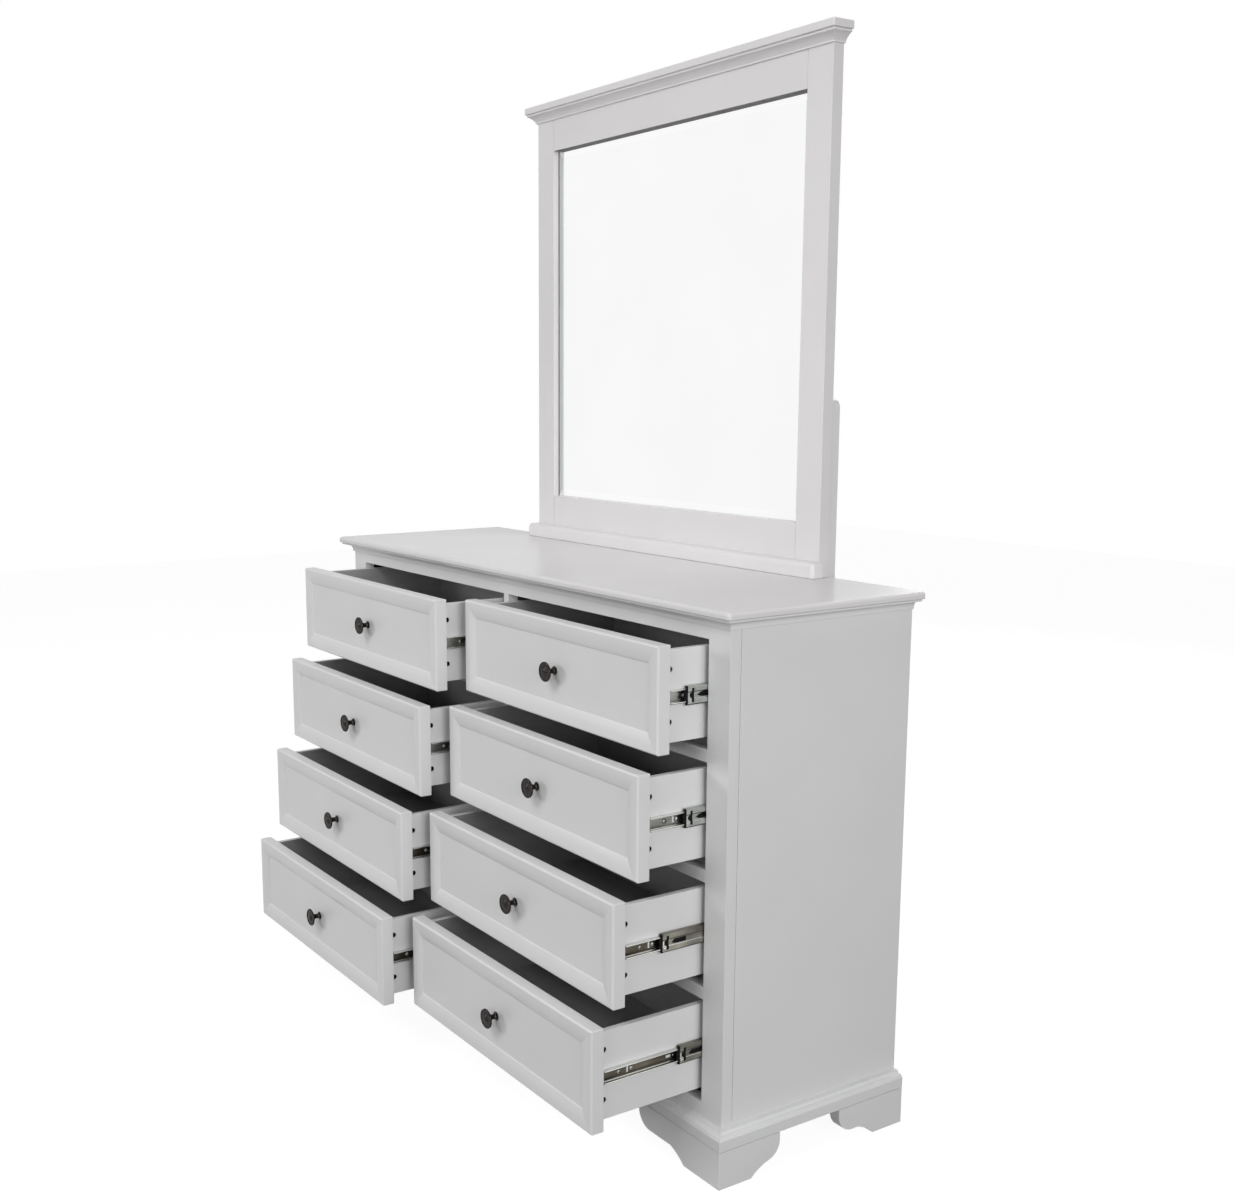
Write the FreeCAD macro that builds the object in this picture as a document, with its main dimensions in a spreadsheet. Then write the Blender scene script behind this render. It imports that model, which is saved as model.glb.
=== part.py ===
import FreeCAD, Part
import math
import os
import re
import Sketcher

# Eight-drawer dresser with a framed mirror standing on its top board.
# Lengths are millimetres: x runs along the front, y into the depth, z up from the floor.

sizes = {
    # carcass, measured on the face of the posts and rails
    "body_width": 1440,
    "body_depth": 430,
    "post_width": 57,
    "post_thickness": 22.7,
    "partition_thickness": 18,
    "side_thickness": 18,
    "side_groove": 2,
    "groove_stop": 9,
    "back_thickness": 5,
    "back_rebate": 9,
    "back_rail_height": 80,
    "back_rail_thickness": 18,
    "lower_back_rail_drop": 263.5,
    "bottom_thickness": 15,
    "top_rail_height": 44.5,
    "rail_height": 22.5,
    "bottom_rail_height": 27,
    "opening_height": 194.5,
    # top board and the mouldings
    "top_thickness": 13.5,
    "top_overhang": 30,
    "top_edge_round": 6.5,
    "cornice_fillet_step": 6.5,
    "cornice_fillet_height": 4.8,
    "cornice_cove": 13,
    "cornice_toe_reach": 4,
    "cornice_toe_height": 3.2,
    "base_overhang": 23,
    "base_inner_reach": 30,
    "base_fascia_height": 20,
    "base_step": 1.5,
    "base_bead": 5,
    "base_cove": 5,
    # bracket feet
    "foot_height": 71.5,
    "foot_thickness": 25,
    "front_foot_toe": 100,
    "front_foot_shelf": 60,
    "front_foot_run": 36,
    "side_foot_toe": 75,
    "side_foot_shelf": 0.5,
    "side_foot_run": 26.5,
    "rear_foot_shelf": 12,
    "rear_foot_run": 37,
    "back_foot_width": 95,
    "back_foot_toe": 60,
    "ogee_ramp": 40,
    "ogee_step": 23,
    "ogee_hollow_radius": 97,
    "ogee_round_radius": 34,
    "ogee_round_rise": 30,
    "glue_block": 22,
    "glue_block_lift": 3,
    # drawers: the pull is how far each one stands open
    "reveal": 2.5,
    "front_thickness": 26.5,
    "front_edge_round": 4,
    "border_rim": 5,
    "border_width": 34,
    "border_drop": 5,
    "panel_step": 1.5,
    "box_back_gap": 35.5,
    "box_side_thickness": 12,
    "box_top_gap": 13,
    "box_lift": 19.5,
    "box_bottom_thickness": 6,
    "box_bottom_lift": 8,
    "pull_top_left": 162.3,
    "pull_upper_left": 203.1,
    "pull_lower_left": 249.4,
    "pull_bottom_left": 298.4,
    "pull_top_right": 106.5,
    "pull_upper_right": 146.5,
    "pull_lower_right": 196,
    "pull_bottom_right": 239.5,
    # three-member drawer runners: the slip is how far each middle member stands out
    "runner_back_gap": 28.5,
    "inner_setback": 2,
    "carrier_setback": 12,
    "runner_thickness": 12.7,
    "runner_gauge": 1.1,
    "runner_play": 0.5,
    "outer_member_height": 45,
    "outer_member_reach": 9.6,
    "middle_member_height": 34,
    "inner_member_height": 24,
    "member_bend": 2.2,
    "packer_height": 60,
    "window_start": 22,
    "window_length": 36,
    "window_height": 9,
    "latch_slot_start": 7,
    "latch_slot_width": 4,
    "latch_slot_height": 20,
    "latch_nose": 10,
    "latch_length": 72,
    "latch_reach": 6.3,
    "screw_slot_start": 52,
    "screw_slot_width": 4.5,
    "screw_slot_length": 11,
    "second_slot_start": 138,
    "slip_top_left": 81.15,
    "slip_upper_left": 101.55,
    "slip_lower_left": 124.7,
    "slip_bottom_left": 149.2,
    "slip_top_right": 78.8,
    "slip_upper_right": 78.3,
    "slip_lower_right": 126.8,
    "slip_bottom_right": 85.1,
    # knob and its screw
    "knob_radius": 19,
    "knob_length": 26,
    "knob_base_radius": 8.5,
    "knob_neck_radius": 5,
    "knob_neck_start": 4,
    "knob_neck_length": 7,
    "knob_edge_start": 20,
    "knob_edge_height": 3.5,
    # release levers on the drawers' runner members
    "lever_end_gap": 8,
    "lever_length": 38,
    "lever_nose": 8,
    "lever_reach": 5,
    "lever_height": 14,
    # mirror
    "mirror_half_width": 500,
    "mirror_thickness": 26,
    "mirror_stile_width": 67,
    "mirror_bottom_rail": 102,
    "mirror_opening_height": 815,
    "mirror_top_rail": 92,
    "mirror_back_gap": 3,
    "mirror_rebate": 10,
    "joint_line": 1.2,
    "glass_thickness": 5,
    "glass_bevel_width": 30,
    "glass_bevel_depth": 1.5,
    "glass_clearance": 0.5,
    "backboard_thickness": 3,
    "crown_thickness": 15,
    "crown_overhang": 24.4,
    "crown_fillet_step": 2,
    "crown_fillet_height": 5,
    "crown_cove": 13.5,
    "crown_toe_reach": 4.3,
    "crown_toe_height": 3,
    "plinth_half_width": 511,
    "plinth_thickness": 26.4,
    "plinth_height": 31.3,
    "plinth_round": 10,
    "support_width": 60,
    "support_thickness": 20,
    "support_inset": 2,
    "support_drop": 258.5,
    "support_rise": 341,
    "support_round": 14,
    # how far a cutting solid runs past what it cuts, and how near counts as the same place
    "overrun": 2,
    "match": 0.05,
}

# Places and sizes that follow from the ones above.
derived = {
    "face": "(pull_bottom_left - panel_recess + knob_length"
            " - body_depth - support_thickness) / 2",
    "body_half": "body_width / 2",
    "inner_half": "body_half - side_thickness",
    "opening_edge": "body_half - post_width",
    "stile_half": "partition_thickness / 2",
    "opening_width": "opening_edge - stile_half",
    "opening_half": "opening_width / 2",
    "column_place": "(opening_edge + stile_half) / 2",
    "base_height": "base_fascia_height + base_bead + base_cove",
    "carcass_bottom": "foot_height + base_height",
    "first_opening": "carcass_bottom + bottom_rail_height",
    "pitch": "opening_height + rail_height",
    "top_opening_end": "first_opening + 3 * pitch + opening_height",
    "carcass_top": "top_opening_end + top_rail_height",
    "carcass_height": "carcass_top - carcass_bottom",
    "deck": "carcass_top + top_thickness",
    "cornice_height": "cornice_toe_height + cornice_cove + cornice_fillet_height",
    "cornice_fillet_reach": "cornice_toe_reach + cornice_cove + cornice_fillet_step",
    "back_face": "body_depth - back_thickness",
    "back_rail_face": "back_face - back_rail_thickness",
    "runner_length": "back_rail_face - front_thickness - inner_setback - runner_back_gap",
    "box_depth": "back_rail_face - front_thickness - box_back_gap",
    "box_side_height": "opening_height - box_lift - box_top_gap",
    "box_half": "opening_half - runner_thickness",
    "box_inner_half": "box_half - box_side_thickness",
    "front_half": "opening_half - reveal",
    "panel_recess": "border_drop + panel_step",
    "front_middle": "opening_height / 2",
    "runner_middle": "box_lift + box_side_height / 2",
    "middle_web": "runner_gauge + runner_play",
    "middle_end": "runner_thickness - runner_gauge - runner_play",
    "inner_end": "2 * (runner_gauge + runner_play)",
    "knob_dome_rise": "knob_length - knob_edge_start - knob_edge_height",
    "mirror_face": "body_depth - mirror_thickness",
    "mirror_inner_half": "mirror_half_width - mirror_stile_width",
    "mirror_opening_bottom": "deck + mirror_bottom_rail",
    "mirror_opening_top": "mirror_opening_bottom + mirror_opening_height",
    "mirror_top": "mirror_opening_top + mirror_top_rail",
    "glass_face": "body_depth - mirror_back_gap - backboard_thickness - glass_thickness",
    "glass_half": "mirror_inner_half + mirror_rebate - glass_clearance",
    "glass_bottom": "mirror_opening_bottom - mirror_rebate + glass_clearance",
    "glass_height": "mirror_opening_height + 2 * (mirror_rebate - glass_clearance)",
    "crown_moulding_height": "crown_toe_height + crown_cove + crown_fillet_height",
    "crown_fillet_reach": "crown_toe_reach + crown_cove + crown_fillet_step",
    "support_bottom": "carcass_top - support_drop",
    "support_top": "deck + support_rise",
    "support_edge": "mirror_half_width - support_inset",
}

rows = ("bottom", "lower", "upper", "top")
columns = {"left": -1, "right": 1}

doc = FreeCAD.newDocument("dresser")
sheet = doc.addObject("Spreadsheet::Sheet", "Sizes")
for line, (word, size) in enumerate(sizes.items(), start=1):
    sheet.set(f"A{line}", word.replace("_", " "))
    sheet.set(f"B{line}", str(size))
    sheet.setAlias(f"B{line}", word)
doc.recompute()


def bind(text):
    """Turn the plain words of a sum into references to the sheet's cells."""
    def look_up(match):
        word = match.group()
        if word in derived:
            return "(" + bind(derived[word]) + ")"
        return "Sizes." + word if word in sizes else word
    return re.sub(r"[a-z_]+", look_up, str(text))


def number(text):
    return float(sheet.evalExpression(bind(text)))


def place(piece, x="0", y="0", z="0"):
    for axis, text in (("x", x), ("y", y), ("z", z)):
        if text != "0":
            piece.setExpression("Placement.Base." + axis, bind(text))
    return piece


def board(name, x, y, z, wide, deep, high):
    piece = doc.addObject("Part::Box", name)
    for size, text in (("Length", wide), ("Width", deep), ("Height", high)):
        piece.setExpression(size, bind(text))
    return place(piece, x, y, z)


def group(name, pieces, x="0", y="0", z="0"):
    piece = doc.addObject("Part::Compound", name)
    piece.Links = pieces
    return place(piece, x, y, z)


def cut(name, base, tools):
    piece = doc.addObject("Part::Cut", name)
    piece.Base = base
    piece.Tool = tools[0] if len(tools) == 1 else group(name + "_cutters", tools)
    return piece


def mirrored(name, piece):
    other = doc.addObject("Part::Mirroring", name)
    other.Source = piece
    other.Base = (0, 0, 0)
    other.Normal = (1, 0, 0)
    return other


def both_sides(name, piece):
    return [piece, mirrored(name + "_left", piece)]


def draw(sketch, points):
    """Draw one closed outline. A point is (x, y), or (x, y, radius, turn) after an arc."""
    spots = [FreeCAD.Vector(number(p[0]), number(p[1]), 0) for p in points]
    edges = []
    for index, point in enumerate(points):
        start, end = spots[index - 1], spots[index]
        if len(point) == 2:
            edges.append((sketch.addGeometry(Part.LineSegment(start, end)), 1, 2))
            continue
        radius, turn = number(point[2]), point[3]
        chord = end - start
        half = chord.Length / 2
        across = FreeCAD.Vector(-chord.y, chord.x, 0).normalize()
        side = 1 if turn == "left" else -1
        middle = (start + end) / 2 + across * side * math.sqrt(max(radius ** 2 - half ** 2, 0))
        first, last = (start, end) if turn == "left" else (end, start)
        begin = math.atan2(first.y - middle.y, first.x - middle.x)
        finish = math.atan2(last.y - middle.y, last.x - middle.x)
        if finish < begin:
            finish += 2 * math.pi
        circle = Part.Circle(middle, FreeCAD.Vector(0, 0, 1), radius)
        edge = sketch.addGeometry(Part.ArcOfCircle(circle, begin, finish))
        edges.append((edge, 1, 2) if turn == "left" else (edge, 2, 1))
        rule = sketch.addConstraint(Sketcher.Constraint("Radius", edge, radius))
        sketch.setExpression(f"Constraints[{rule}]", bind(point[2]))
    for index, point in enumerate(points):
        edge, start, end = edges[index]
        following, following_start, following_end = edges[(index + 1) % len(edges)]
        sketch.addConstraint(Sketcher.Constraint("Coincident", edge, end, following, following_start))
        for kind, axis, text in (("DistanceX", -2, point[0]), ("DistanceY", -1, point[1])):
            if text == "0":
                sketch.addConstraint(Sketcher.Constraint("PointOnObject", edge, end, axis))
                continue
            rule = sketch.addConstraint(Sketcher.Constraint(kind, -1, 1, edge, end, number(text)))
            sketch.setExpression(f"Constraints[{rule}]", bind(text))


def body_sketch(body, plane, points):
    sketch = body.newObject("Sketcher::SketchObject", body.Name + "_outline")
    support = [item for item in body.Origin.OriginFeatures if item.Role == plane + "_Plane"]
    sketch.AttachmentSupport = (support[0], [""])
    sketch.MapMode = "FlatFace"
    draw(sketch, points)
    return sketch


def profile_body(name, plane, points, length, start="0", symmetric=False):
    """Pad an outline along the positive axis that stands square to its plane."""
    body = doc.addObject("PartDesign::Body", name)
    pad = body.newObject("PartDesign::Pad", name + "_pad")
    pad.Profile = body_sketch(body, plane, points)
    pad.setExpression("Length", bind(length))
    pad.Reversed = plane == "XZ"
    pad.Midplane = symmetric
    body.Tip = pad
    axis = {"XZ": "y", "YZ": "x", "XY": "z"}[plane]
    return place(body, **{axis: start})


def round_edges(body, radius, wanted):
    """Round the edges of a body whose middle point the test accepts."""
    doc.recompute()
    base = body.Tip
    names = []
    for index, edge in enumerate(base.Shape.Edges, start=1):
        if wanted(edge.BoundBox):
            names.append(f"Edge{index}")
    fillet = body.newObject("PartDesign::Fillet", body.Name + "_round")
    fillet.Base = (base, names)
    fillet.setExpression("Radius", bind(radius))
    body.Tip = fillet
    return body


def near(first, second):
    return abs(first - second) < number("match")


def node(label, pieces, x="0", y="face", z="0"):
    piece = group(label, pieces, x, y, z)
    piece.Label = label
    nodes.append(piece)
    return piece


nodes = []


def mirror_outline(points, x_of):
    """Swap an outline from (reach, height) into sketch places that run the other way."""
    other = {"left": "right", "right": "left"}
    turned = []
    for index, point in enumerate(points):
        arc = [point[2], other[point[3]]] if len(point) == 4 else []
        turned.append((x_of(point[0]), point[1], *arc))
    return turned


def raised(points, lift):
    return [(p[0], f"{lift} + {p[1]}", *p[2:]) for p in points]


def mitred_moulding(name, profile, half_width, front, depth, bottom, inner, outer, height):
    """A moulding round the front and both sides, its three lengths mitred at the corners."""
    outline = raised(profile, bottom)
    front_length = profile_body(
        name + "_front", "YZ", mirror_outline(outline, lambda reach: f"{front} - ({reach})"),
        f"2 * ({half_width} + {outer})", symmetric=True)
    side_length = profile_body(
        name + "_side", "XZ", [(f"{half_width} + {p[0]}", *p[1:]) for p in outline],
        f"{depth} + {outer}", start=f"{front} - {outer}")
    corner = (f"{half_width} + {outer} + overrun", f"{front} - {outer} - overrun")
    heel = (f"{half_width} - {inner} - overrun", f"{front} + {inner} + overrun")
    front_waste = profile_body(
        name + "_front_waste", "XY", [corner, (corner[0], heel[1]), heel],
        f"{height} + 2 * overrun", start=f"{bottom} - overrun")
    side_waste = profile_body(
        name + "_side_waste", "XY", [corner, heel, (heel[0], corner[1])],
        f"{height} + 2 * overrun", start=f"{bottom} - overrun")
    front_piece = cut(name + "_front_piece", front_length,
                      both_sides(name + "_front_waste", front_waste))
    side_piece = cut(name + "_side_piece", side_length, [side_waste])
    return [front_piece] + both_sides(name + "_side_piece", side_piece)


def cove_profile(name):
    """A flat toe, a hollow quarter round and a square fillet on top."""
    cove_end = f"{name}_toe_reach + {name}_cove"
    cove_top = f"{name}_toe_height + {name}_cove"
    height = f"{cove_top} + {name}_fillet_height"
    return [
        ("0", "0"),
        (f"{name}_toe_reach", "0"),
        (f"{name}_toe_reach", f"{name}_toe_height"),
        (cove_end, cove_top, f"{name}_cove", "right"),
        (f"{cove_end} + {name}_fillet_step", cove_top),
        (f"{cove_end} + {name}_fillet_step", height),
        ("0", height),
    ]


def make_carcass():
    post = board("post", "opening_edge", "0", "carcass_bottom",
                 "post_width", "post_thickness", "carcass_height")
    node("front_posts", both_sides("post", post))

    rails = [
        board("top_rail", "-opening_edge", "0", "top_opening_end",
              "2 * opening_edge", "post_thickness", "top_rail_height"),
        board("bottom_rail", "-opening_edge", "0", "carcass_bottom",
              "2 * opening_edge", "post_thickness", "bottom_rail_height"),
    ]
    for count, row in enumerate(rows[:-1], start=1):
        rail = board(row + "_rail", "stile_half", "0", f"first_opening + {count} * pitch - rail_height",
                     "opening_width", "post_thickness", "rail_height")
        rails += both_sides(row + "_rail", rail)
    node("front_rails", rails)

    partition = board("partition_board", "-stile_half", "0", "first_opening",
                      "partition_thickness", "back_rail_face", "carcass_top - first_opening")
    notch = board("partition_notch", "-stile_half - overrun", "-overrun", "top_opening_end",
                  "partition_thickness + 2 * overrun", "post_thickness + overrun",
                  "top_rail_height + overrun")
    node("centre_partition", [cut("partition", partition, [notch])])

    side = board("side_board", "inner_half", "post_thickness", "carcass_bottom",
                 "side_thickness", "body_depth - post_thickness", "carcass_height")
    rebate = board("side_rebate", "inner_half - overrun", "back_face", "carcass_bottom - overrun",
                   "back_rebate + overrun", "back_thickness + overrun",
                   "carcass_height + 2 * overrun")
    groove = board("side_groove_cut", "body_half - side_groove", "post_thickness - overrun",
                   "carcass_bottom + groove_stop", "side_groove + overrun",
                   "side_groove + overrun", "carcass_height")
    node("side_panels", both_sides("side_panel", cut("side_panel", side, [rebate, groove])))

    node("bottom_panel", [board("bottom_board", "-inner_half", "post_thickness",
                                "first_opening - bottom_thickness", "2 * inner_half",
                                "back_face - post_thickness", "bottom_thickness")])

    back = board("back_board", "-inner_half - back_rebate", "back_face", "carcass_bottom",
                 "2 * (inner_half + back_rebate)", "back_thickness", "carcass_height")
    node("back_panel", [back])
    back_rails = []
    for name, height in (("top", "carcass_top - back_rail_height"),
                         ("lower", "carcass_top - lower_back_rail_drop")):
        back_rails.append(board(name + "_back_rail", "-inner_half", "back_rail_face", height,
                                "2 * inner_half", "back_rail_thickness", "back_rail_height"))
    node("back_rails", back_rails)


def make_top():
    half = "body_half + top_overhang"
    top = profile_body("top_plank", "XY", [
        (f"-({half})", "-top_overhang"), (half, "-top_overhang"),
        (half, "body_depth"), (f"-({half})", "body_depth")], "top_thickness", start="carcass_top")
    back, thick = number("body_depth"), number("top_thickness")
    round_edges(top, "top_edge_round",
                lambda box: near(box.ZMin, thick) and near(box.ZMax, thick) and not near(box.YMin, back))
    node("top_board", [top])

    node("cornice_moulding", mitred_moulding(
        "cornice", cove_profile("cornice"), "body_half", "0", "body_depth",
        "carcass_top - cornice_height", "0", "cornice_fillet_reach", "cornice_height"))


def make_base():
    bead_foot = "base_overhang - base_step"
    bead_end = "base_overhang - base_step - base_bead"
    profile = [
        ("-base_inner_reach", "0"),
        ("base_overhang", "0"),
        ("base_overhang", "base_fascia_height"),
        (bead_foot, "base_fascia_height"),
        (bead_end, "base_fascia_height + base_bead", "base_bead", "left"),
        (f"{bead_end} - base_step", "base_fascia_height + base_bead"),
        (f"{bead_end} - base_step - base_cove", "base_height", "base_cove", "right"),
        ("-base_inner_reach", "base_height"),
    ]
    lengths = mitred_moulding("base", profile, "body_half", "0", "body_depth", "foot_height",
                              "base_inner_reach", "base_overhang", "base_height")
    lengths.append(board("base_back_rail", "-body_half + base_inner_reach",
                         "body_depth - base_inner_reach", "foot_height",
                         "2 * (body_half - base_inner_reach)", "base_inner_reach", "base_height"))
    node("base_moulding", lengths)

    edge = "body_half + base_overhang"
    front = "-base_overhang"

    def bracket(toe, shelf, run, along):
        """One bracket's outline: a flat toe, a hollow ramp, a shelf and a rounded rise."""
        ramp_end = f"{toe} + ogee_ramp"
        width = f"{ramp_end} + {shelf} + {run}"
        points = [("0", "0"), (toe, "0"), (ramp_end, "ogee_step", "ogee_hollow_radius", "right"),
                  (f"{ramp_end} + {shelf}", "ogee_step"),
                  (width, "ogee_step + ogee_round_rise", "ogee_round_radius", "left"),
                  (width, "foot_height"), ("0", "foot_height")]
        return along(points)

    front_bracket = profile_body(
        "front_bracket", "XZ",
        bracket("front_foot_toe", "front_foot_shelf", "front_foot_run",
                lambda points: mirror_outline(points, lambda reach: f"{edge} - ({reach})")),
        "foot_thickness", start=front)
    side_bracket = profile_body(
        "side_bracket", "YZ",
        bracket("side_foot_toe", "side_foot_shelf", "side_foot_run",
                lambda points: [(f"{front} + {p[0]}", *p[1:]) for p in points]),
        "foot_thickness", start=f"{edge} - foot_thickness")
    rear_bracket = profile_body(
        "rear_bracket", "YZ",
        bracket("side_foot_toe", "rear_foot_shelf", "rear_foot_run",
                lambda points: mirror_outline(points, lambda reach: f"body_depth - ({reach})")),
        "foot_thickness", start=f"{edge} - foot_thickness")
    corner = (f"{edge} + overrun", f"{front} - overrun")
    heel = (f"{edge} - foot_thickness - overrun", f"{front} + foot_thickness + overrun")
    waste_height = "foot_height + 2 * overrun"
    front_waste = profile_body("bracket_front_waste", "XY", [corner, (corner[0], heel[1]), heel],
                               waste_height, start="-overrun")
    side_waste = profile_body("bracket_side_waste", "XY", [corner, heel, (heel[0], corner[1])],
                              waste_height, start="-overrun")
    block_place = f"{edge} - foot_thickness - glue_block"
    block_height = "foot_height - glue_block_lift"
    front_block = board("front_glue_block", block_place, f"{front} + foot_thickness",
                        "glue_block_lift", "glue_block", "glue_block", block_height)
    front_foot = [cut("front_bracket_mitred", front_bracket, [front_waste]),
                  cut("side_bracket_mitred", side_bracket, [side_waste]), front_block]
    node("front_feet", front_foot + [mirrored(piece.Name + "_left", piece) for piece in front_foot])

    back_edge = f"{edge} - foot_thickness"
    back_bracket = profile_body(
        "back_bracket", "XZ",
        [(back_edge, "0"), (back_edge, "foot_height"),
         (f"{back_edge} - back_foot_width", "foot_height"), (f"{back_edge} - back_foot_toe", "0")],
        "foot_thickness", start="body_depth - foot_thickness")
    rear_block = board("rear_glue_block", block_place, "body_depth - foot_thickness - glue_block",
                       "glue_block_lift", "glue_block", "glue_block", block_height)
    rear_foot = [rear_bracket, back_bracket, rear_block]
    node("rear_feet", rear_foot + [mirrored(piece.Name + "_left", piece) for piece in rear_foot])


def channel(web, end, height, lip):
    """A folded steel member in section: reach from the cabinet wall by height."""
    toward, over = ("+", "-") if number(end) > number(web) else ("-", "+")

    def reach(text):
        return f"opening_half - ({web} {toward} {text})"

    near_end = f"opening_half - ({end} {over} runner_gauge)"
    far_end = f"opening_half - ({end})"
    edge = f"({height}) / 2"
    fold = "member_bend - runner_gauge"
    points = [
        (reach("0"), f"{edge} - member_bend"),
        (reach("member_bend"), edge),
        (far_end, edge),
        (far_end, f"{edge} - ({lip})"),
        (near_end, f"{edge} - ({lip})"),
        (near_end, f"{edge} - runner_gauge"),
        (reach("member_bend"), f"{edge} - runner_gauge"),
        (reach("runner_gauge"), f"{edge} - runner_gauge - ({fold})"),
    ]
    return points + [(x, f"-({z})") for x, z in reversed(points)]


def make_runners():
    outer_lip = "(outer_member_height - middle_member_height) / 2 - runner_play"
    middle_lip = "(middle_member_height - inner_member_height) / 2 - runner_play"
    inner_lip = "2 * runner_gauge"
    outer = profile_body("outer_member", "XZ",
                         channel("0", "outer_member_reach", "outer_member_height", outer_lip),
                         "runner_length", start="carrier_setback")
    outer_pair = group("outer_pair", both_sides("outer_member", outer))

    middle = profile_body("middle_member", "XZ",
                          channel("middle_web", "middle_end", "middle_member_height", middle_lip),
                          "runner_length", start="carrier_setback")
    web_place = "opening_half - middle_web - runner_gauge - overrun"
    web_through = "runner_gauge + 2 * overrun"
    window = board("window", web_place, "carrier_setback + window_start", "-window_height / 2",
                   web_through, "window_length", "window_height")
    latch_slot = board("latch_slot", web_place, "carrier_setback + latch_slot_start",
                       "-latch_slot_height / 2", web_through, "latch_slot_width",
                       "latch_slot_height")
    slotted = cut("middle_member_slotted", middle, [window, latch_slot])
    latch_half = "inner_member_height / 2 - 2 * runner_gauge - runner_play"
    latch = board("latch", "opening_half - middle_web - runner_gauge - latch_reach",
                  "carrier_setback - latch_nose", f"-({latch_half})", "latch_reach",
                  "latch_length", f"2 * ({latch_half})")
    middle_pair = group("middle_pair", both_sides("middle_slotted", slotted)
                        + both_sides("latch", latch))

    inner = profile_body("inner_member", "XZ",
                         channel("runner_thickness", "inner_end", "inner_member_height", inner_lip),
                         "runner_length", start="inner_setback")
    inner_web = "opening_half - runner_thickness - overrun"
    upright_slot = board("upright_slot", inner_web, "inner_setback + screw_slot_start",
                         "-screw_slot_length / 2", web_through, "screw_slot_width",
                         "screw_slot_length")
    level_slot = board("level_slot", inner_web, "inner_setback + second_slot_start",
                       "-screw_slot_width / 2", web_through, "screw_slot_length",
                       "screw_slot_width")
    inner_slotted = cut("inner_member_slotted", inner, [upright_slot, level_slot])
    inner_pair = group("inner_pair", both_sides("inner_slotted", inner_slotted))
    return outer_pair, middle_pair, inner_pair


def make_drawer_front():
    front = profile_body(
        "front_blank", "XZ",
        [("-(front_half)", "reveal"), ("front_half", "reveal"),
         ("front_half", "opening_height - reveal"), ("-(front_half)", "opening_height - reveal")],
        "front_thickness", start="-front_thickness")
    round_edges(front, "front_edge_round", lambda box: near(box.YMin, 0) and near(box.YMax, 0))
    border = doc.addObject("Part::Wedge", "border_slope")
    for name, text in (
            ("Xmin", "-(front_half - border_rim)"), ("Xmax", "front_half - border_rim"),
            ("Zmin", "reveal + border_rim"), ("Zmax", "opening_height - reveal - border_rim"),
            ("X2min", "-(front_half - border_width)"), ("X2max", "front_half - border_width"),
            ("Z2min", "reveal + border_width"), ("Z2max", "opening_height - reveal - border_width"),
            ("Ymin", "-front_thickness"), ("Ymax", "border_drop - front_thickness")):
        border.setExpression(name, bind(text))
    panel = board("panel_sink", "-(front_half - border_width)", "-front_thickness",
                  "reveal + border_width", "2 * (front_half - border_width)", "panel_recess",
                  "opening_height - 2 * (reveal + border_width)")
    return cut("front_panel", front, [border, panel])


def make_drawer_box():
    side = board("box_side", "box_inner_half", "0", "box_lift",
                 "box_side_thickness", "box_depth", "box_side_height")
    back = board("box_back", "-(box_inner_half)", "box_depth - box_side_thickness", "box_lift",
                 "2 * (box_inner_half)", "box_side_thickness", "box_side_height")
    bottom = board("box_bottom", "-(box_inner_half)", "0", "box_lift + box_bottom_lift",
                   "2 * (box_inner_half)", "box_depth - box_side_thickness",
                   "box_bottom_thickness")
    return group("drawer_box", both_sides("box_side", side) + [back, bottom])


def make_hardware():
    """The knob on the front, and the levers that free the drawer from its runners."""
    knob = doc.addObject("PartDesign::Body", "knob")
    sketch = body_sketch(knob, "XY", [
        ("0", "0"),
        ("knob_base_radius", "0"),
        ("knob_neck_radius", "-knob_neck_start"),
        ("knob_neck_radius", "-(knob_neck_start + knob_neck_length)"),
        ("knob_radius", "-knob_edge_start"),
        ("knob_radius", "-(knob_edge_start + knob_edge_height)"),
        ("0", "-knob_length",
         "(knob_radius * knob_radius + knob_dome_rise * knob_dome_rise) / (2 * knob_dome_rise)",
         "right"),
    ])
    turned = knob.newObject("PartDesign::Revolution", "knob_turned")
    turned.Profile = sketch
    axis = [item for item in knob.Origin.OriginFeatures if item.Role == "Y_Axis"]
    turned.ReferenceAxis = (axis[0], [""])
    turned.Angle = 360
    knob.Tip = turned
    place(knob, y="panel_recess - front_thickness", z="front_middle")

    seat = "box_half + runner_gauge"
    lever_end = "inner_setback + runner_length - lever_end_gap"
    lever_start = f"{lever_end} - lever_length"
    lever = profile_body("release_lever", "XY", [
        (seat, lever_start), (f"{seat} + lever_reach", f"{lever_start} + lever_nose"),
        (f"{seat} + lever_reach", lever_end), (seat, lever_end)],
        "lever_height", start="runner_middle - lever_height / 2")
    return group("hardware", [knob] + both_sides("release_lever", lever))


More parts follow.
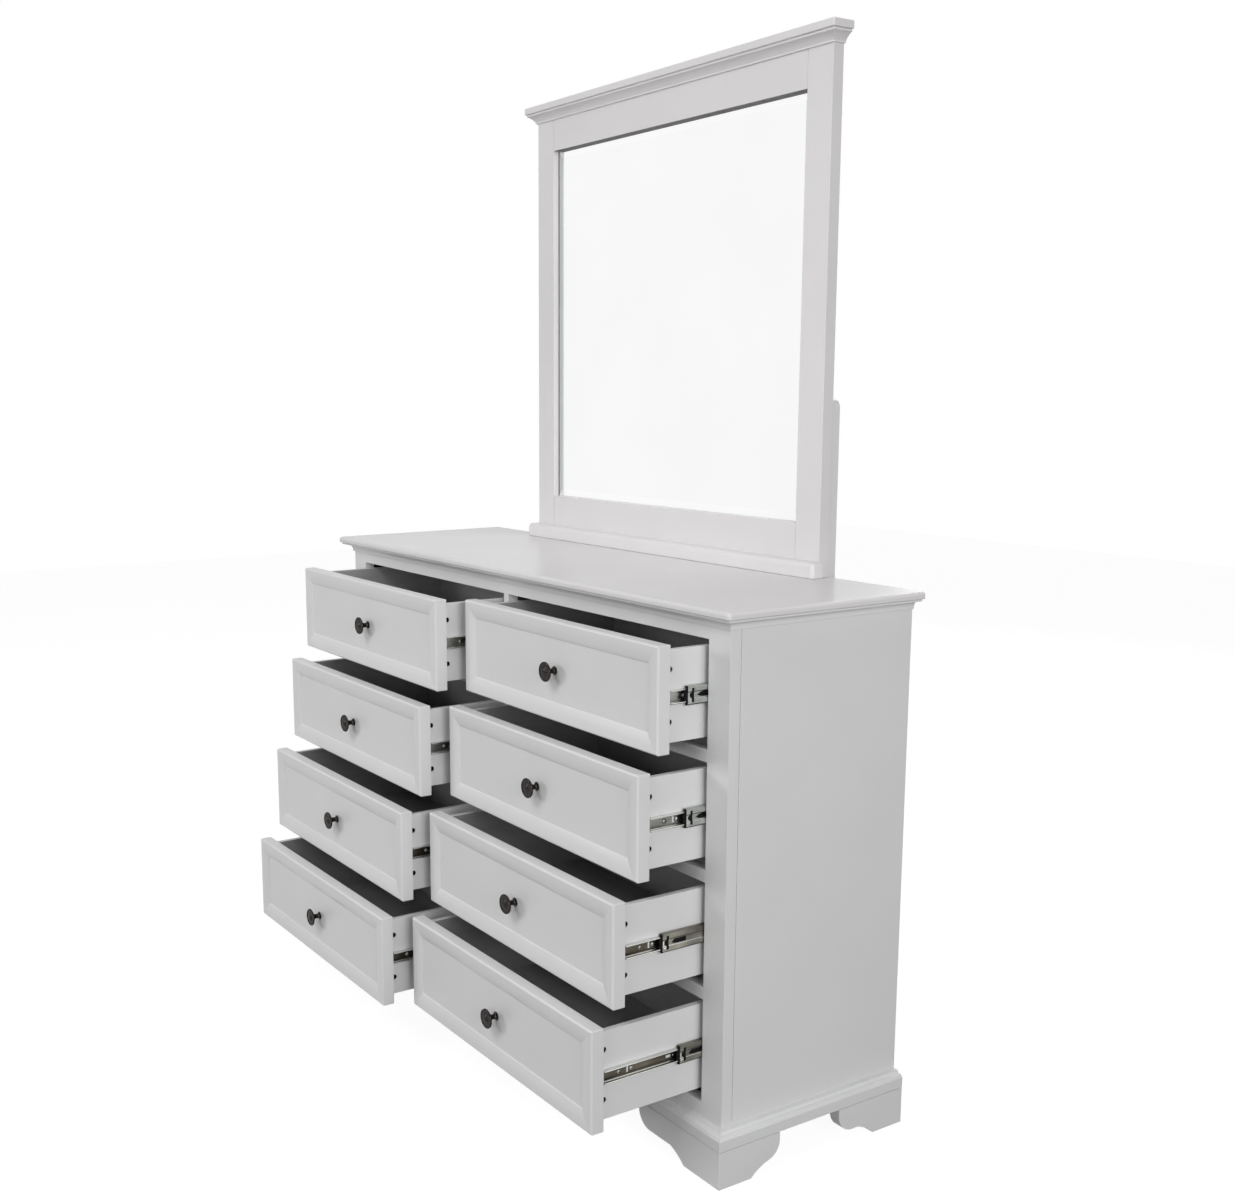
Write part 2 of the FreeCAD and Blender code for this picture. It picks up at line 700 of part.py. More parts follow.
def make_drawers():
    outer_pair, middle_pair, inner_pair = make_runners()
    front = make_drawer_front()
    box = make_drawer_box()
    hardware = make_hardware()
    outer_members = []
    packers = []
    for count, row in enumerate(rows):
        opening = f"first_opening + {count} * pitch"
        runner_place = f"{opening} + runner_middle"
        packer = board(row + "_packer", "opening_edge", "post_thickness",
                       f"{runner_place} - packer_height / 2",
                       "inner_half - opening_edge", "runner_length", "packer_height")
        packers += both_sides(row + "_packer", packer)
        for column, side in columns.items():
            drawer = f"{row}_{column}"
            x = f"{side} * column_place"
            closed = "front_thickness"
            opened = f"face + front_thickness - pull_{drawer}"
            slipped = f"face + front_thickness - slip_{drawer}"
            node(drawer + "_front", [front], x, opened, opening)
            node(drawer + "_box", [box], x, opened, opening)
            node(drawer + "_hardware", [hardware], x, opened, opening)
            node(drawer + "_inner_runners", [inner_pair], x, opened, runner_place)
            node(drawer + "_middle_runners", [middle_pair], x, slipped, runner_place)
            outer_members.append(group(drawer + "_outer_pair", [outer_pair], x, closed, runner_place))
    node("runner_outer_members", outer_members)
    node("runner_packers", packers)


def make_mirror():
    rebate = board("mirror_rebate_cut", "-mirror_inner_half - mirror_rebate", "glass_face",
                   "mirror_opening_bottom - mirror_rebate",
                   "2 * (mirror_inner_half + mirror_rebate)", "mirror_thickness",
                   "mirror_opening_height + 2 * mirror_rebate")
    stile = board("stile", "mirror_inner_half", "mirror_face", "deck",
                  "mirror_stile_width", "mirror_thickness", "mirror_top - deck")
    members = both_sides("stile_rebated", cut("stile_rebated", stile, [rebate]))
    for name, bottom, height in (("low", "deck", "mirror_bottom_rail"),
                                 ("high", "mirror_opening_top", "mirror_top_rail")):
        rail = board(name + "_mirror_rail", "-mirror_inner_half", "mirror_face", bottom,
                     "2 * mirror_inner_half", "mirror_thickness", height)
        line = board(name + "_joint_line", "mirror_inner_half - joint_line",
                     "mirror_face - overrun", f"{bottom} - overrun", "joint_line + overrun",
                     "joint_line + overrun", f"{height} + 2 * overrun")
        members.append(cut(name + "_mirror_rail_cut", rail,
                           [rebate] + both_sides(name + "_joint_line", line)))
    node("mirror_frame", members)

    bevel = doc.addObject("Part::Wedge", "glass_bevel")
    for name, text in (
            ("Xmin", "-(glass_half - glass_bevel_width)"), ("Xmax", "glass_half - glass_bevel_width"),
            ("Zmin", "glass_bottom + glass_bevel_width"),
            ("Zmax", "glass_bottom + glass_height - glass_bevel_width"),
            ("X2min", "-(glass_half)"), ("X2max", "glass_half"),
            ("Z2min", "glass_bottom"), ("Z2max", "glass_bottom + glass_height"),
            ("Ymin", "glass_face"), ("Ymax", "glass_face + glass_bevel_depth")):
        bevel.setExpression(name, bind(text))
    sheet_glass = board("glass_sheet", "-(glass_half)", "glass_face + glass_bevel_depth",
                        "glass_bottom", "2 * (glass_half)",
                        "glass_thickness - glass_bevel_depth", "glass_height")
    glass = doc.addObject("Part::Fuse", "glass")
    glass.Base = bevel
    glass.Tool = sheet_glass
    node("mirror_glass", [glass])
    node("mirror_backboard", [board("backboard", "-(glass_half)", "glass_face + glass_thickness",
                                    "glass_bottom", "2 * (glass_half)", "backboard_thickness",
                                    "glass_height")])

    crown = board("crown_board", "-mirror_half_width - crown_overhang",
                  "mirror_face - crown_overhang", "mirror_top",
                  "2 * (mirror_half_width + crown_overhang)",
                  "mirror_thickness + crown_overhang", "crown_thickness")
    node("mirror_crown", [crown] + mitred_moulding(
        "crown", cove_profile("crown"), "mirror_half_width", "mirror_face", "mirror_thickness",
        "mirror_top - crown_moulding_height", "0", "crown_fillet_reach",
        "crown_moulding_height"))

    plinth = profile_body("plinth_blank", "XZ", [
        ("-plinth_half_width", "0"), ("plinth_half_width", "0"),
        ("plinth_half_width", "plinth_height"), ("-plinth_half_width", "plinth_height")],
        "plinth_thickness")
    depth, high = number("plinth_thickness"), number("plinth_height")
    round_edges(plinth, "plinth_round",
                lambda box: near(box.ZMin, high) and near(box.ZMax, high) and not near(box.YMin, depth))
    place(plinth, y="mirror_face - plinth_thickness", z="deck")
    node("mirror_plinth_board", [plinth])

    support = profile_body("support", "XZ", [
        ("support_edge - support_width", "support_bottom"), ("support_edge", "support_bottom"),
        ("support_edge", "support_top - support_round"),
        ("support_edge - support_round", "support_top", "support_round", "left"),
        ("support_edge - support_width + support_round", "support_top"),
        ("support_edge - support_width", "support_top - support_round", "support_round", "left")],
        "support_thickness", start="body_depth")
    node("mirror_supports", both_sides("support", support))


make_carcass()
make_top()
make_base()
make_drawers()
make_mirror()
doc.recompute()

faults = []
for item in doc.Objects:
    if "Invalid" in item.State or "Error" in item.State:
        faults.append(f"{item.Name}: {item.State}")
for piece in nodes:
    if piece.Shape.isNull() or not piece.Shape.isValid() or not piece.Shape.Solids:
        faults.append(f"{piece.Label}: bad shape")
if faults:
    raise RuntimeError("; ".join(faults))

os.makedirs("parts", exist_ok=True)
for piece in nodes:
    piece.Shape.exportStep(f"parts/{piece.Label}.step")
print(len(nodes), "sub-parts,", sum(len(piece.Shape.Solids) for piece in nodes), "solids")
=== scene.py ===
# Dresser with mirror: finishes, small fittings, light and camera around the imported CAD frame.
# Lengths are in millimetres until a mesh is made or placed. The studio's are in metres.
import math

import bmesh
import bpy
from mathutils import Matrix, Vector


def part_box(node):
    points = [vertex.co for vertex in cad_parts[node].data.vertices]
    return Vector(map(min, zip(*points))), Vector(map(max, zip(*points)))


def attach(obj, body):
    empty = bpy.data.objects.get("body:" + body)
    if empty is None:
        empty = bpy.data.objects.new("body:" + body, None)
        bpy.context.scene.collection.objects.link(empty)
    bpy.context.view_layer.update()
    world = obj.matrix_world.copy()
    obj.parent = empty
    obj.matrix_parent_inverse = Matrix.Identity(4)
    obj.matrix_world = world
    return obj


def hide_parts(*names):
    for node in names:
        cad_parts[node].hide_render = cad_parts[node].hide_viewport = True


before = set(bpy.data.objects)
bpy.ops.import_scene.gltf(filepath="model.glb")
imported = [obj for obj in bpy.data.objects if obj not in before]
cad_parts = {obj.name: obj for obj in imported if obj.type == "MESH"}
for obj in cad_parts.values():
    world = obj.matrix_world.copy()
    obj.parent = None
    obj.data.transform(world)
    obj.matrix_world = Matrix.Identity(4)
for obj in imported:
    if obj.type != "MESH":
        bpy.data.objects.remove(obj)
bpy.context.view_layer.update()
mm = 0.001
micron = 1e6  # to a metre
hair = 0.02  # a gap or a corner radius too small to see
tip = 0.05  # a turned outline starts and ends this near its axis
square = 0.9  # a normal this far along an axis counts as facing straight along it
rows = ("bottom", "lower", "upper", "top")
columns = {"left": -1, "right": 1}
print("frame loaded:", len(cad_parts), "nodes")


# Node tree helpers

def fill(node, values):
    for name, value in values.items():
        node.inputs[name].default_value = value


def add(tree, kind, values=None, **settings):
    node = tree.nodes.new(kind)
    for name, value in settings.items():
        setattr(node, name, value)
    fill(node, values or {})
    return node


def freshFinish(name, metal=0.0):
    finish = bpy.data.materials.new(name)
    finish.use_nodes = True
    surface = finish.node_tree.nodes["Principled BSDF"]
    fill(surface, {"Metallic": metal})
    return finish, surface


def wire(source, output, target, entry):
    source.id_data.links.new(source.outputs[output], target.inputs[entry])


def grain(surface, size, detail=2.0, roughness=0.5, stretch=(1, 1, 1)):
    # size is one blotch in millimetres; a stretch below 1 draws it out along that axis
    tree = surface.id_data
    drawn = add(tree, "ShaderNodeMapping", {"Scale": stretch})
    wire(add(tree, "ShaderNodeTexCoord"), "Object", drawn, "Vector")
    noise = add(tree, "ShaderNodeTexNoise",
                {"Scale": 1 / (size * mm), "Detail": detail, "Roughness": roughness})
    wire(drawn, "Vector", noise, "Vector")
    return noise


def tint(surface, mask, shades, span=(0.35, 0.65)):
    # the first shade up to the start of the span, the second from its end on
    ramp = add(surface.id_data, "ShaderNodeValToRGB")
    for stop, spot, colour in zip(ramp.color_ramp.elements, span, shades):
        stop.position = spot
        stop.color = (*colour, 1)
    wire(mask, "Fac", ramp, "Fac")
    wire(ramp, "Color", surface, "Base Color")


def gloss(surface, mask, sheen, span=(0.3, 0.7)):
    spread = add(surface.id_data, "ShaderNodeMapRange",
                 {"From Min": span[0], "From Max": span[1], "To Min": sheen[0],
                  "To Max": sheen[1]})
    wire(mask, "Fac", spread, "Value")
    wire(spread, "Result", surface, "Roughness")


def relief(surface, *layers):
    # each layer is (mask, depth in millimetres); they add up
    last = None
    for mask, depth in layers:
        bump = add(surface.id_data, "ShaderNodeBump", {"Strength": 1.0, "Distance": depth * mm})
        wire(mask, "Fac", bump, "Height")
        if last:
            wire(last, "Normal", bump, "Normal")
        last = bump
    wire(last, "Normal", surface, "Normal")


# Finishes. A grain is (blotch size, detail, roughness, stretch), as grain takes it, and a
# sheen is the surface's roughness where it's glossiest and where it's dullest.

lacquer = {
    "white": ((0.728, 0.729, 0.731), (0.748, 0.747, 0.753)),
    # a pinker copy of the white: painted reflection of warm light on the mirror frame and top board
    "reflectionPink": ((0.734, 0.718, 0.726), (0.756, 0.739, 0.748)),
    "satin": (0.32, 0.42), "polished": (0.245, 0.255),
    "cloud": (220, 3.0), "cloudSpan": (0.38, 0.62), "wiped": (33, 4.0, 0.6),
    "peel": (1.6, 1.5), "peelDepth": 0.006, "ripple": (120, 1.0), "rippleDepth": 0.015,
}


def sprayedLacquer(name, shades, sheen, shine, flow=1.0):
    # flow is the share of the usual orange peel and ripple that's left
    finish, surface = freshFinish(name)
    fill(surface, {"Specular IOR Level": shine})
    tint(surface, grain(surface, *lacquer["cloud"]), shades, lacquer["cloudSpan"])
    gloss(surface, grain(surface, *lacquer["wiped"]), sheen)
    relief(surface,
           (grain(surface, *lacquer["ripple"]), lacquer["rippleDepth"] * flow),
           (grain(surface, *lacquer["peel"]), lacquer["peelDepth"] * flow))
    return finish


foil = {
    # charcoal is partly the carcass's own dark foil and partly painted shade for its unlit inside
    "charcoal": ((0.052, 0.050, 0.053), (0.066, 0.064, 0.067)),
    # lining is partly the drawers' own grey and partly painted shade for their shaded insides
    "lining": ((0.345, 0.345, 0.347), (0.38, 0.38, 0.382)),
    "streak": (8, 4.0, 0.6, (1, 0.08, 1)), "sheen": (0.48, 0.62),
    "pores": (1.1, 2.0, 0.5, (1, 0.2, 1)), "poreDepth": 0.02,
}


def grainedFoil(name, shades):
    finish, surface = freshFinish(name)
    streak = grain(surface, *foil["streak"])
    tint(surface, streak, shades)
    gloss(surface, streak, foil["sheen"])
    relief(surface, (grain(surface, *foil["pores"]), foil["poreDepth"]))
    return finish


hardboard = {
    "shades": ((0.16, 0.115, 0.075), (0.27, 0.20, 0.135)), "span": (0.3, 0.7),
    "sheen": (0.70, 0.86), "fibres": (4, 6.0, 0.7), "fibreDepth": 0.1,
    "screen": 1.6, "screenDepth": 0.06, "screenSlack": 0.3,
    "waveAtOne": 314,  # how far apart a wave texture's bands lie at scale 1
}


def fibreBoard(name):
    finish, surface = freshFinish(name)
    tree = finish.node_tree
    fibres = grain(surface, *hardboard["fibres"])
    tint(surface, fibres, hardboard["shades"], hardboard["span"])
    gloss(surface, fibres, hardboard["sheen"])
    layers = [(fibres, hardboard["fibreDepth"])]
    # the press screen leaves its weave on the rough side
    for band in ("X", "Z"):
        weave = add(tree, "ShaderNodeTexWave",
                    {"Scale": hardboard["waveAtOne"] / hardboard["screen"],
                     "Distortion": hardboard["screenSlack"]}, bands_direction=band)
        wire(add(tree, "ShaderNodeTexCoord"), "Object", weave, "Vector")
        layers.append((weave, hardboard["screenDepth"]))
    relief(surface, *layers)
    return finish


zinc = {
    "cloud": (70, 3.0, 0.5, (1, 0.6, 2.0)), "drawn": (1.1, 3.0, 0.6, (1, 0.03, 1)),
    "drawnDepth": 0.008, "spread": (-0.07, 0.08),
    # each plating's dark shade, pale shade and middle roughness
    "platings": {
        "rolled": ((0.15, 0.148, 0.14), (0.34, 0.34, 0.325), 0.30),
        # the next four are copies of one zinc for different rows, painted paler or browner as
        # painted reflection
        "topRowReflection": ((0.26, 0.26, 0.25), (0.46, 0.46, 0.40), 0.28),
        "lowRowReflection": ((0.055, 0.047, 0.036), (0.17, 0.155, 0.125), 0.30),
        "lowCarrierReflection": ((0.11, 0.10, 0.082), (0.42, 0.415, 0.36), 0.28),
        "pale": ((0.42, 0.44, 0.41), (0.66, 0.68, 0.65), 0.28),
        # bright is the races' and tabs' own burnish, and painted highlight where it marks faces
        # looking up
        "bright": ((0.66, 0.67, 0.64), (0.82, 0.83, 0.80), 0.22),
        # painted shade for faces of the runners that look down
        "paintedShade": ((0.022, 0.021, 0.018), (0.05, 0.048, 0.04), 0.50),
        "cast": ((0.20, 0.198, 0.165), (0.38, 0.38, 0.335), 0.42),
    },
}


def zincPlate(name, dark, pale, rough):
    finish, surface = freshFinish(name, 1.0)
    tint(surface, grain(surface, *zinc["cloud"]), (dark, pale))
    drawn = grain(surface, *zinc["drawn"])
    gloss(surface, drawn, [rough + step for step in zinc["spread"]])
    relief(surface, (drawn, zinc["drawnDepth"]))
    return finish


nickel = {
    "shades": ((0.010, 0.008, 0.0075), (0.032, 0.026, 0.024)), "edge": (0.4, 0.4, 0.4),
    "cloud": (7, 4.0, 0.6), "sheen": (0.035, 0.07), "buffed": (0.7,), "buffedDepth": 0.003,
    "lacquer": {"Coat Weight": 0.5, "Coat IOR": 1.35, "Coat Roughness": 0.03},
}


def blackNickel(name):
    finish, surface = freshFinish(name, 1.0)
    cloud = grain(surface, *nickel["cloud"])
    tint(surface, cloud, nickel["shades"])
    gloss(surface, cloud, nickel["sheen"])
    fill(surface, {"Specular Tint": (*nickel["edge"], 1), **nickel["lacquer"]})
    relief(surface, (grain(surface, *nickel["buffed"]), nickel["buffedDepth"]))
    return finish


moulded = {"shades": ((0.004, 0.004, 0.004), (0.009, 0.009, 0.009)), "shine": 0.08,
           "spark": (1.4, 3.0), "sparkDepth": 0.02, "sheen": (0.42, 0.58)}


def mouldedPlastic(name):
    finish, surface = freshFinish(name)
    fill(surface, {"Specular IOR Level": moulded["shine"]})
    spark = grain(surface, *moulded["spark"])
    tint(surface, spark, moulded["shades"])
    gloss(surface, spark, moulded["sheen"])
    relief(surface, (spark, moulded["sparkDepth"]))
    return finish


silvered = {
    "silvering": ((0.92, 0.925, 0.922), (0.94, 0.943, 0.94)),
    # the bevels' copies are painted reflection: brighter at the top and bottom, darker grey at the
    # sides, whose green tint is the glass's own
    "levelBevelReflection": ((0.935, 0.94, 0.937), (0.955, 0.96, 0.957)),
    "uprightBevelReflection": ((0.64, 0.685, 0.655), (0.68, 0.72, 0.69)),
    "cloud": (330,), "wiped": (55, 3.0, 0.6, (1, 1, 0.3)), "sheen": (0.008, 0.022),
    "wave": (450, 0.0), "waveDepth": 0.03,
}


def silvering(name, shades):
    finish, surface = freshFinish(name, 1.0)
    tint(surface, grain(surface, *silvered["cloud"]), shades)
    gloss(surface, grain(surface, *silvered["wiped"]), silvered["sheen"])
    relief(surface, (grain(surface, *silvered["wave"]), silvered["waveDepth"]))
    return finish


white = sprayedLacquer("satinLacquer", lacquer["white"], lacquer["satin"], 0.36)
# the mirror frame and top board take the pinker copy, a painted reflection
mirrorWhite = sprayedLacquer("mirrorLacquer", lacquer["reflectionPink"], lacquer["satin"], 0.36)
topWhite = sprayedLacquer("topLacquer", lacquer["reflectionPink"], lacquer["polished"], 0.14, 0.2)
charcoal = grainedFoil("charcoalFoil", foil["charcoal"])
lining = grainedFoil("liningFoil", foil["lining"])
rearBoard = fibreBoard("hardboard")
plated = {name: zincPlate(name + "Zinc", *look) for name, look in zinc["platings"].items()}
knobMetal = blackNickel("blackNickel")
plastic = mouldedPlastic("blackPlastic")
silver = [silvering(name, silvered[name]) for name in ("silvering", "levelBevelReflection", "uprightBevelReflection")]
print("finishes ready")


# Mesh helpers

def loft(rings, shell=None):
    # rings are closed outlines with the same number of points; the first and last are capped
    shell = shell or bmesh.new()
    lines = [[shell.verts.new(Vector(point) * mm) for point in ring] for ring in rings]
    count = len(lines[0])
    for near, far in zip(lines, lines[1:]):
        for i in range(count):
            j = (i + 1) % count
            shell.faces.new((near[i], near[j], far[j], far[i]))
    shell.faces.new(lines[0][::-1])
    shell.faces.new(lines[-1])
    return shell


def plank(low, high, shell=None):
    (x0, y0, z0), (x1, y1, z1) = low, high
    return loft([[(x0, y0, z), (x1, y0, z), (x1, y1, z), (x0, y1, z)] for z in (z0, z1)], shell)


def crossOutline(long, short):
    # from one arm's end round to the next, a quarter turn at a time
    points, quarter = [], [(long, short), (short, short), (short, long)]
    for turn in range(4):
        points += quarter
        quarter = [(-b, a) for a, b in quarter]
    return points


def turned(outline, shell=None, sides=48, at=(0, 0, 0), axis="y"):
    # outline is (radius, height along the axis) from one end to the other
    rings = []
    for radius, height in outline:
        ring = []
        for i in range(sides):
            angle = math.tau * i / sides
            across, up = radius * math.cos(angle), radius * math.sin(angle)
            spot = (across, height, up) if axis == "y" else (height, across, up)
            ring.append([a + b for a, b in zip(spot, at)])
        rings.append(ring)
    return loft(rings, shell)


def arcPoints(centre, radius, start, end, steps, high=None):
    # high is the upward radius of an ellipse's arc
    turns = [math.radians(start + (end - start) * i / steps) for i in range(steps + 1)]
    return [(centre[0] + radius * math.cos(turn), centre[1] + (high or radius) * math.sin(turn))
            for turn in turns]


def arcBetween(start, end, radius, side, steps=10):
    # the short arc after start, up to end; side is 1 with its centre left of the way, or -1
    first, last = Vector(start), Vector(end)
    chord = last - first
    away = math.sqrt(radius ** 2 - (chord.length / 2) ** 2)
    centre = (first + last) / 2 + Vector((-chord.y, chord.x)).normalized() * away * side
    one, other = first - centre, last - centre
    return [tuple(centre + one.slerp(other, i / steps) * radius) for i in range(1, steps + 1)]


def roundedLoop(low, high, inset, corner, lay, steps=4, fixed=False):
    # a rectangle with round corners; fixed keeps its far side and both far corners in place
    (a0, b0), (a1, b1) = low, high
    a0, a1, b0 = a0 + inset, a1 - inset, b0 + inset
    b1 = b1 if fixed else b1 - inset
    near = max(corner - inset, hair)
    far = hair if fixed else near
    ring = []
    for a, b, start, radius in ((a0, b0, 180, near), (a1, b0, 270, near),
                                (a1, b1, 0, far), (a0, b1, 90, far)):
        centre = a + radius if a == a0 else a - radius, b + radius if b == b0 else b - radius
        ring += [lay(*spot) for spot in arcPoints(centre, radius, start, start + 90, steps)]
    return ring


def layFlat(height):
    return lambda x, y: (x, y, height)


def layUpright(y):
    return lambda x, z: (x, y, z)


def closedShells(nodeName):
    # a node's triangles come solid by solid, so a solid is whole when each edge has met its partner
    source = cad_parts[nodeName].data
    shell = bmesh.new()
    corners, waiting = {}, set()
    for face in source.polygons:
        ring = []
        for index in face.vertices:
            place = source.vertices[index].co
            spot = tuple(round(value * micron) for value in place)
            if spot not in corners:
                corners[spot] = shell.verts.new(place)
            ring.append(corners[spot])
        shell.faces.new(ring)
        for i in range(3):
            waiting ^= {frozenset((ring[i], ring[i - 1]))}
        if not waiting:
            corners = {}
    bmesh.ops.dissolve_limit(shell, angle_limit=math.radians(0.5), verts=shell.verts,
                             edges=shell.edges)
    return shell


def sliced(shell, spot, way, **kept):
    # cuts along a plane through a spot in metres; clear_outer or clear_inner drops one side
    bmesh.ops.bisect_plane(shell, geom=shell.verts[:] + shell.edges[:] + shell.faces[:],
                           plane_co=spot, plane_no=way, **kept)


def carved(shell, cutter):
    # takes the cutter's shells out of a shell
    pieces = []
    for part in (shell, cutter):
        bmesh.ops.recalc_face_normals(part, faces=part.faces)
        mesh = bpy.data.meshes.new("blank")
        part.to_mesh(mesh)
        part.free()
        pieces.append(bpy.data.objects.new("blank", mesh))
        bpy.context.collection.objects.link(pieces[-1])
    cut = pieces[0].modifiers.new("cut", "BOOLEAN")
    cut.object = pieces[1]
    cut.solver = "EXACT"
    result = bmesh.new()
    result.from_object(pieces[0], bpy.context.evaluated_depsgraph_get())
    for piece in pieces:
        bpy.data.meshes.remove(piece.data)
    return result


def meshFrom(name, shell, finishes, choose=None, crease=None):
    # choose gives a face's place in the list of finishes; crease keeps edges above that angle sharp
    bmesh.ops.recalc_face_normals(shell, faces=shell.faces)
    for face in shell.faces:
        face.smooth = True
        if choose:
            face.material_index = choose(face.calc_center_median() / mm, face.normal)
    mesh = bpy.data.meshes.new(name)
    shell.to_mesh(mesh)
    shell.free()
    for finish in finishes:
        mesh.materials.append(finish)
    if crease:
        mesh.set_sharp_from_angle(angle=math.radians(crease))
    return mesh


easing = {"angle": 32, "flatness": 90}


def hang(name, mesh, body, at=(0, 0, 0), ease=0.0, steps=2, instead=()):
    # puts a mesh in its place on a body; ease rounds its sharp edges
    piece = bpy.data.objects.new(name, mesh)
    bpy.context.collection.objects.link(piece)
    piece.location = Vector(at) * mm
    if ease:
        rounding = piece.modifiers.new("easedEdges", "BEVEL")
        rounding.width = ease * mm
        rounding.segments = steps
        rounding.limit_method = "ANGLE"
        rounding.angle_limit = math.radians(easing["angle"])
    level = piece.modifiers.new("flatFaces", "WEIGHTED_NORMAL")
    level.keep_sharp = not ease
    level.weight = easing["flatness"]
    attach(piece, body)
    if instead:
        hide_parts(*instead)


def hangWhite(name, mesh, ease=0.0, instead=()):
    hang(name, mesh, "cabinet", ease=ease, instead=instead)


# Cabinet

cabinet = {"half": 720, "front": -66.05, "depth": 430, "top": 1018.5, "postDepth": 22.7,
           "deck": 1032}
front = cabinet["front"]
back = front + cabinet["depth"]


def easedNode(nodeName, ease, finishes, choose=None, split=None, steps=2):
    # a CAD piece with its sharp edges eased and a finish for each zone
    shell = closedShells(nodeName)
    if split:
        sliced(shell, (0, split * mm, 0), (0, 1, 0))
    mesh = meshFrom(nodeName + "Eased", shell, finishes, choose)
    hang(nodeName + "Eased", mesh, "cabinet", ease=ease, steps=steps, instead=[nodeName])


def insideDark(place, normal):
    # side panels are charcoal on the inside only, partly their own dark foil and partly painted
    # shade for the unlit inside
    return 1 if normal.x * place.x < 0 and abs(normal.x) > square else 0


# the partition is charcoal behind the face frame, partly its own foil and partly painted shade
def behindFrame(place, normal):
    return 1 if place.y > front + cabinet["postDepth"] else 0


def facesRear(place, normal):
    return 1 if normal.y > square else 0


easedNode("front_posts", 0.5, [white])
easedNode("front_rails", 0.5, [white])
easedNode("side_panels", 0.35, [white, charcoal], insideDark)
easedNode("centre_partition", 0.5, [white, charcoal], behindFrame,
          front + cabinet["postDepth"])
# the bottom, the back's inner face, the back rails and the packers are charcoal, partly their own
# foil and partly painted shade
easedNode("bottom_panel", 0.5, [charcoal])
easedNode("back_panel", 0.4, [charcoal, rearBoard], facesRear)
easedNode("back_rails", 0.6, [charcoal])
easedNode("runner_packers", 0.6, [charcoal])

topBoard = {"overhang": 30, "lowerRound": 2.5, "upperRound": 6.5, "corner": 7, "steps": (4, 8, 6)}


def roundedBoard(name, low, high, sizes, finish):
    # a flat board, rounded along its edges and at its corners except at the back
    under, over = sizes["lowerRound"], sizes["upperRound"]
    lower, upper, around = sizes["steps"]
    edge = [(under - x, z) for x, z in arcPoints((0, low[2] + under), under, -90, 0, lower)]
    edge += [(over - x, z) for x, z in arcPoints((0, high[2] - over), over, 0, 90, upper)]
    rings = [roundedLoop(low[:2], high[:2], inset, sizes["corner"], layFlat(height), around, True)
             for inset, height in edge]
    return meshFrom(name, loft(rings), [finish])


def makeTopBoard():
    reach = cabinet["half"] + topBoard["overhang"]
    mesh = roundedBoard("topBoard", (-reach, front - topBoard["overhang"], cabinet["top"]),
                        (reach, back, cabinet["deck"]), topBoard, topWhite)
    hangWhite("topBoard", mesh, instead=["top_board"])


makeTopBoard()


def mitredRun(outline, half, face, rear):
    # an outline of (reach, height) carried round the left side, the front and the right side
    stations = []
    for sideways, forward in ((-1, 0), (-1, 1), (1, 1), (1, 0)):
        ring = []
        for reach, height in outline:
            y = face - reach if forward else rear
            ring.append((sideways * (half + reach), y, height))
        stations.append(ring)
    return loft(stations)


def coveOutline(sizes, bottom):
    # a toe, a hollow and a fillet, from the bottom up
    (toe, lift), (step, rise) = sizes["toe"], sizes["fillet"]
    start = toe, bottom + lift
    out, up = toe + sizes["cove"], bottom + lift + sizes["cove"]
    return ([(0, bottom), (toe, bottom), start]
            + arcBetween(start, (out, up), sizes["hollow"], -1, 9)
            + [(out + step, up), (out + step, up + rise), (0, up + rise)])


cornice = {"toe": (4, 3.2), "cove": 13, "hollow": 13, "fillet": (6.5, 4.8), "height": 21}


def makeCornice():
    run = mitredRun(coveOutline(cornice, cabinet["top"] - cornice["height"]), cabinet["half"],
                    front, back)
    hangWhite("cornice", meshFrom("cornice", run, [white]), 0.6, ["cornice_moulding"])


makeCornice()

base = {"overhang": 23, "inner": 30, "fascia": 20, "step": 1.5, "bead": 5, "cove": 5,
        "bottom": 71.5, "backRail": 30}


def makeBaseMoulding():
    bead = base["overhang"] - base["step"] - base["bead"]
    brow = base["bottom"] + base["fascia"]
    top = brow + base["bead"] + base["cove"]
    outline = [(-base["inner"], base["bottom"]), (base["overhang"], base["bottom"]),
               (base["overhang"], brow)]
    outline += arcPoints((bead, brow), base["bead"], 0, 90, 6)
    outline += arcPoints((bead - base["step"], top), base["cove"], 270, 180, 6)
    outline += [(-base["inner"], top)]
    shell = mitredRun(outline, cabinet["half"], front, back)
    inner = cabinet["half"] - base["inner"]
    plank((-inner, back - base["backRail"], base["bottom"]), (inner, back, top), shell)
    hangWhite("baseMoulding", meshFrom("baseMoulding", shell, [white]), 0.45, ["base_moulding"])


makeBaseMoulding()

foot = {
    "height": 71.5, "thickness": 25, "frontToe": 100, "frontShelf": 60, "frontRun": 36,
    "sideToe": 75, "sideShelf": 0.5, "sideRun": 26.5, "rearShelf": 12, "rearRun": 37,
    "backWidth": 95, "backToe": 60, "ramp": 40, "step": 23, "hollow": 97, "round": 34, "rise": 30,
    "block": 22, "lift": 3, "setBack": 0.5, "joint": 1.4,
}


def bracketOutline(toe, shelf, run):
    rampEnd = toe + foot["ramp"]
    width = rampEnd + shelf + run
    line = [(0, 0), (toe, 0)]
    line += arcBetween((toe, 0), (rampEnd, foot["step"]), foot["hollow"], -1)
    line += [(rampEnd + shelf, foot["step"])]
    line += arcBetween((rampEnd + shelf, foot["step"]), (width, foot["step"] + foot["rise"]),
                       foot["round"], 1)
    top = foot["height"] - foot["joint"]
    return line + [(width, top), (0, top)]


def glueBlock(shell, side, inner, start):
    ends = sorted((side * (inner - foot["block"]), side * inner))
    plank((ends[0], start, foot["lift"]), (ends[1], start + foot["block"], foot["height"]), shell)


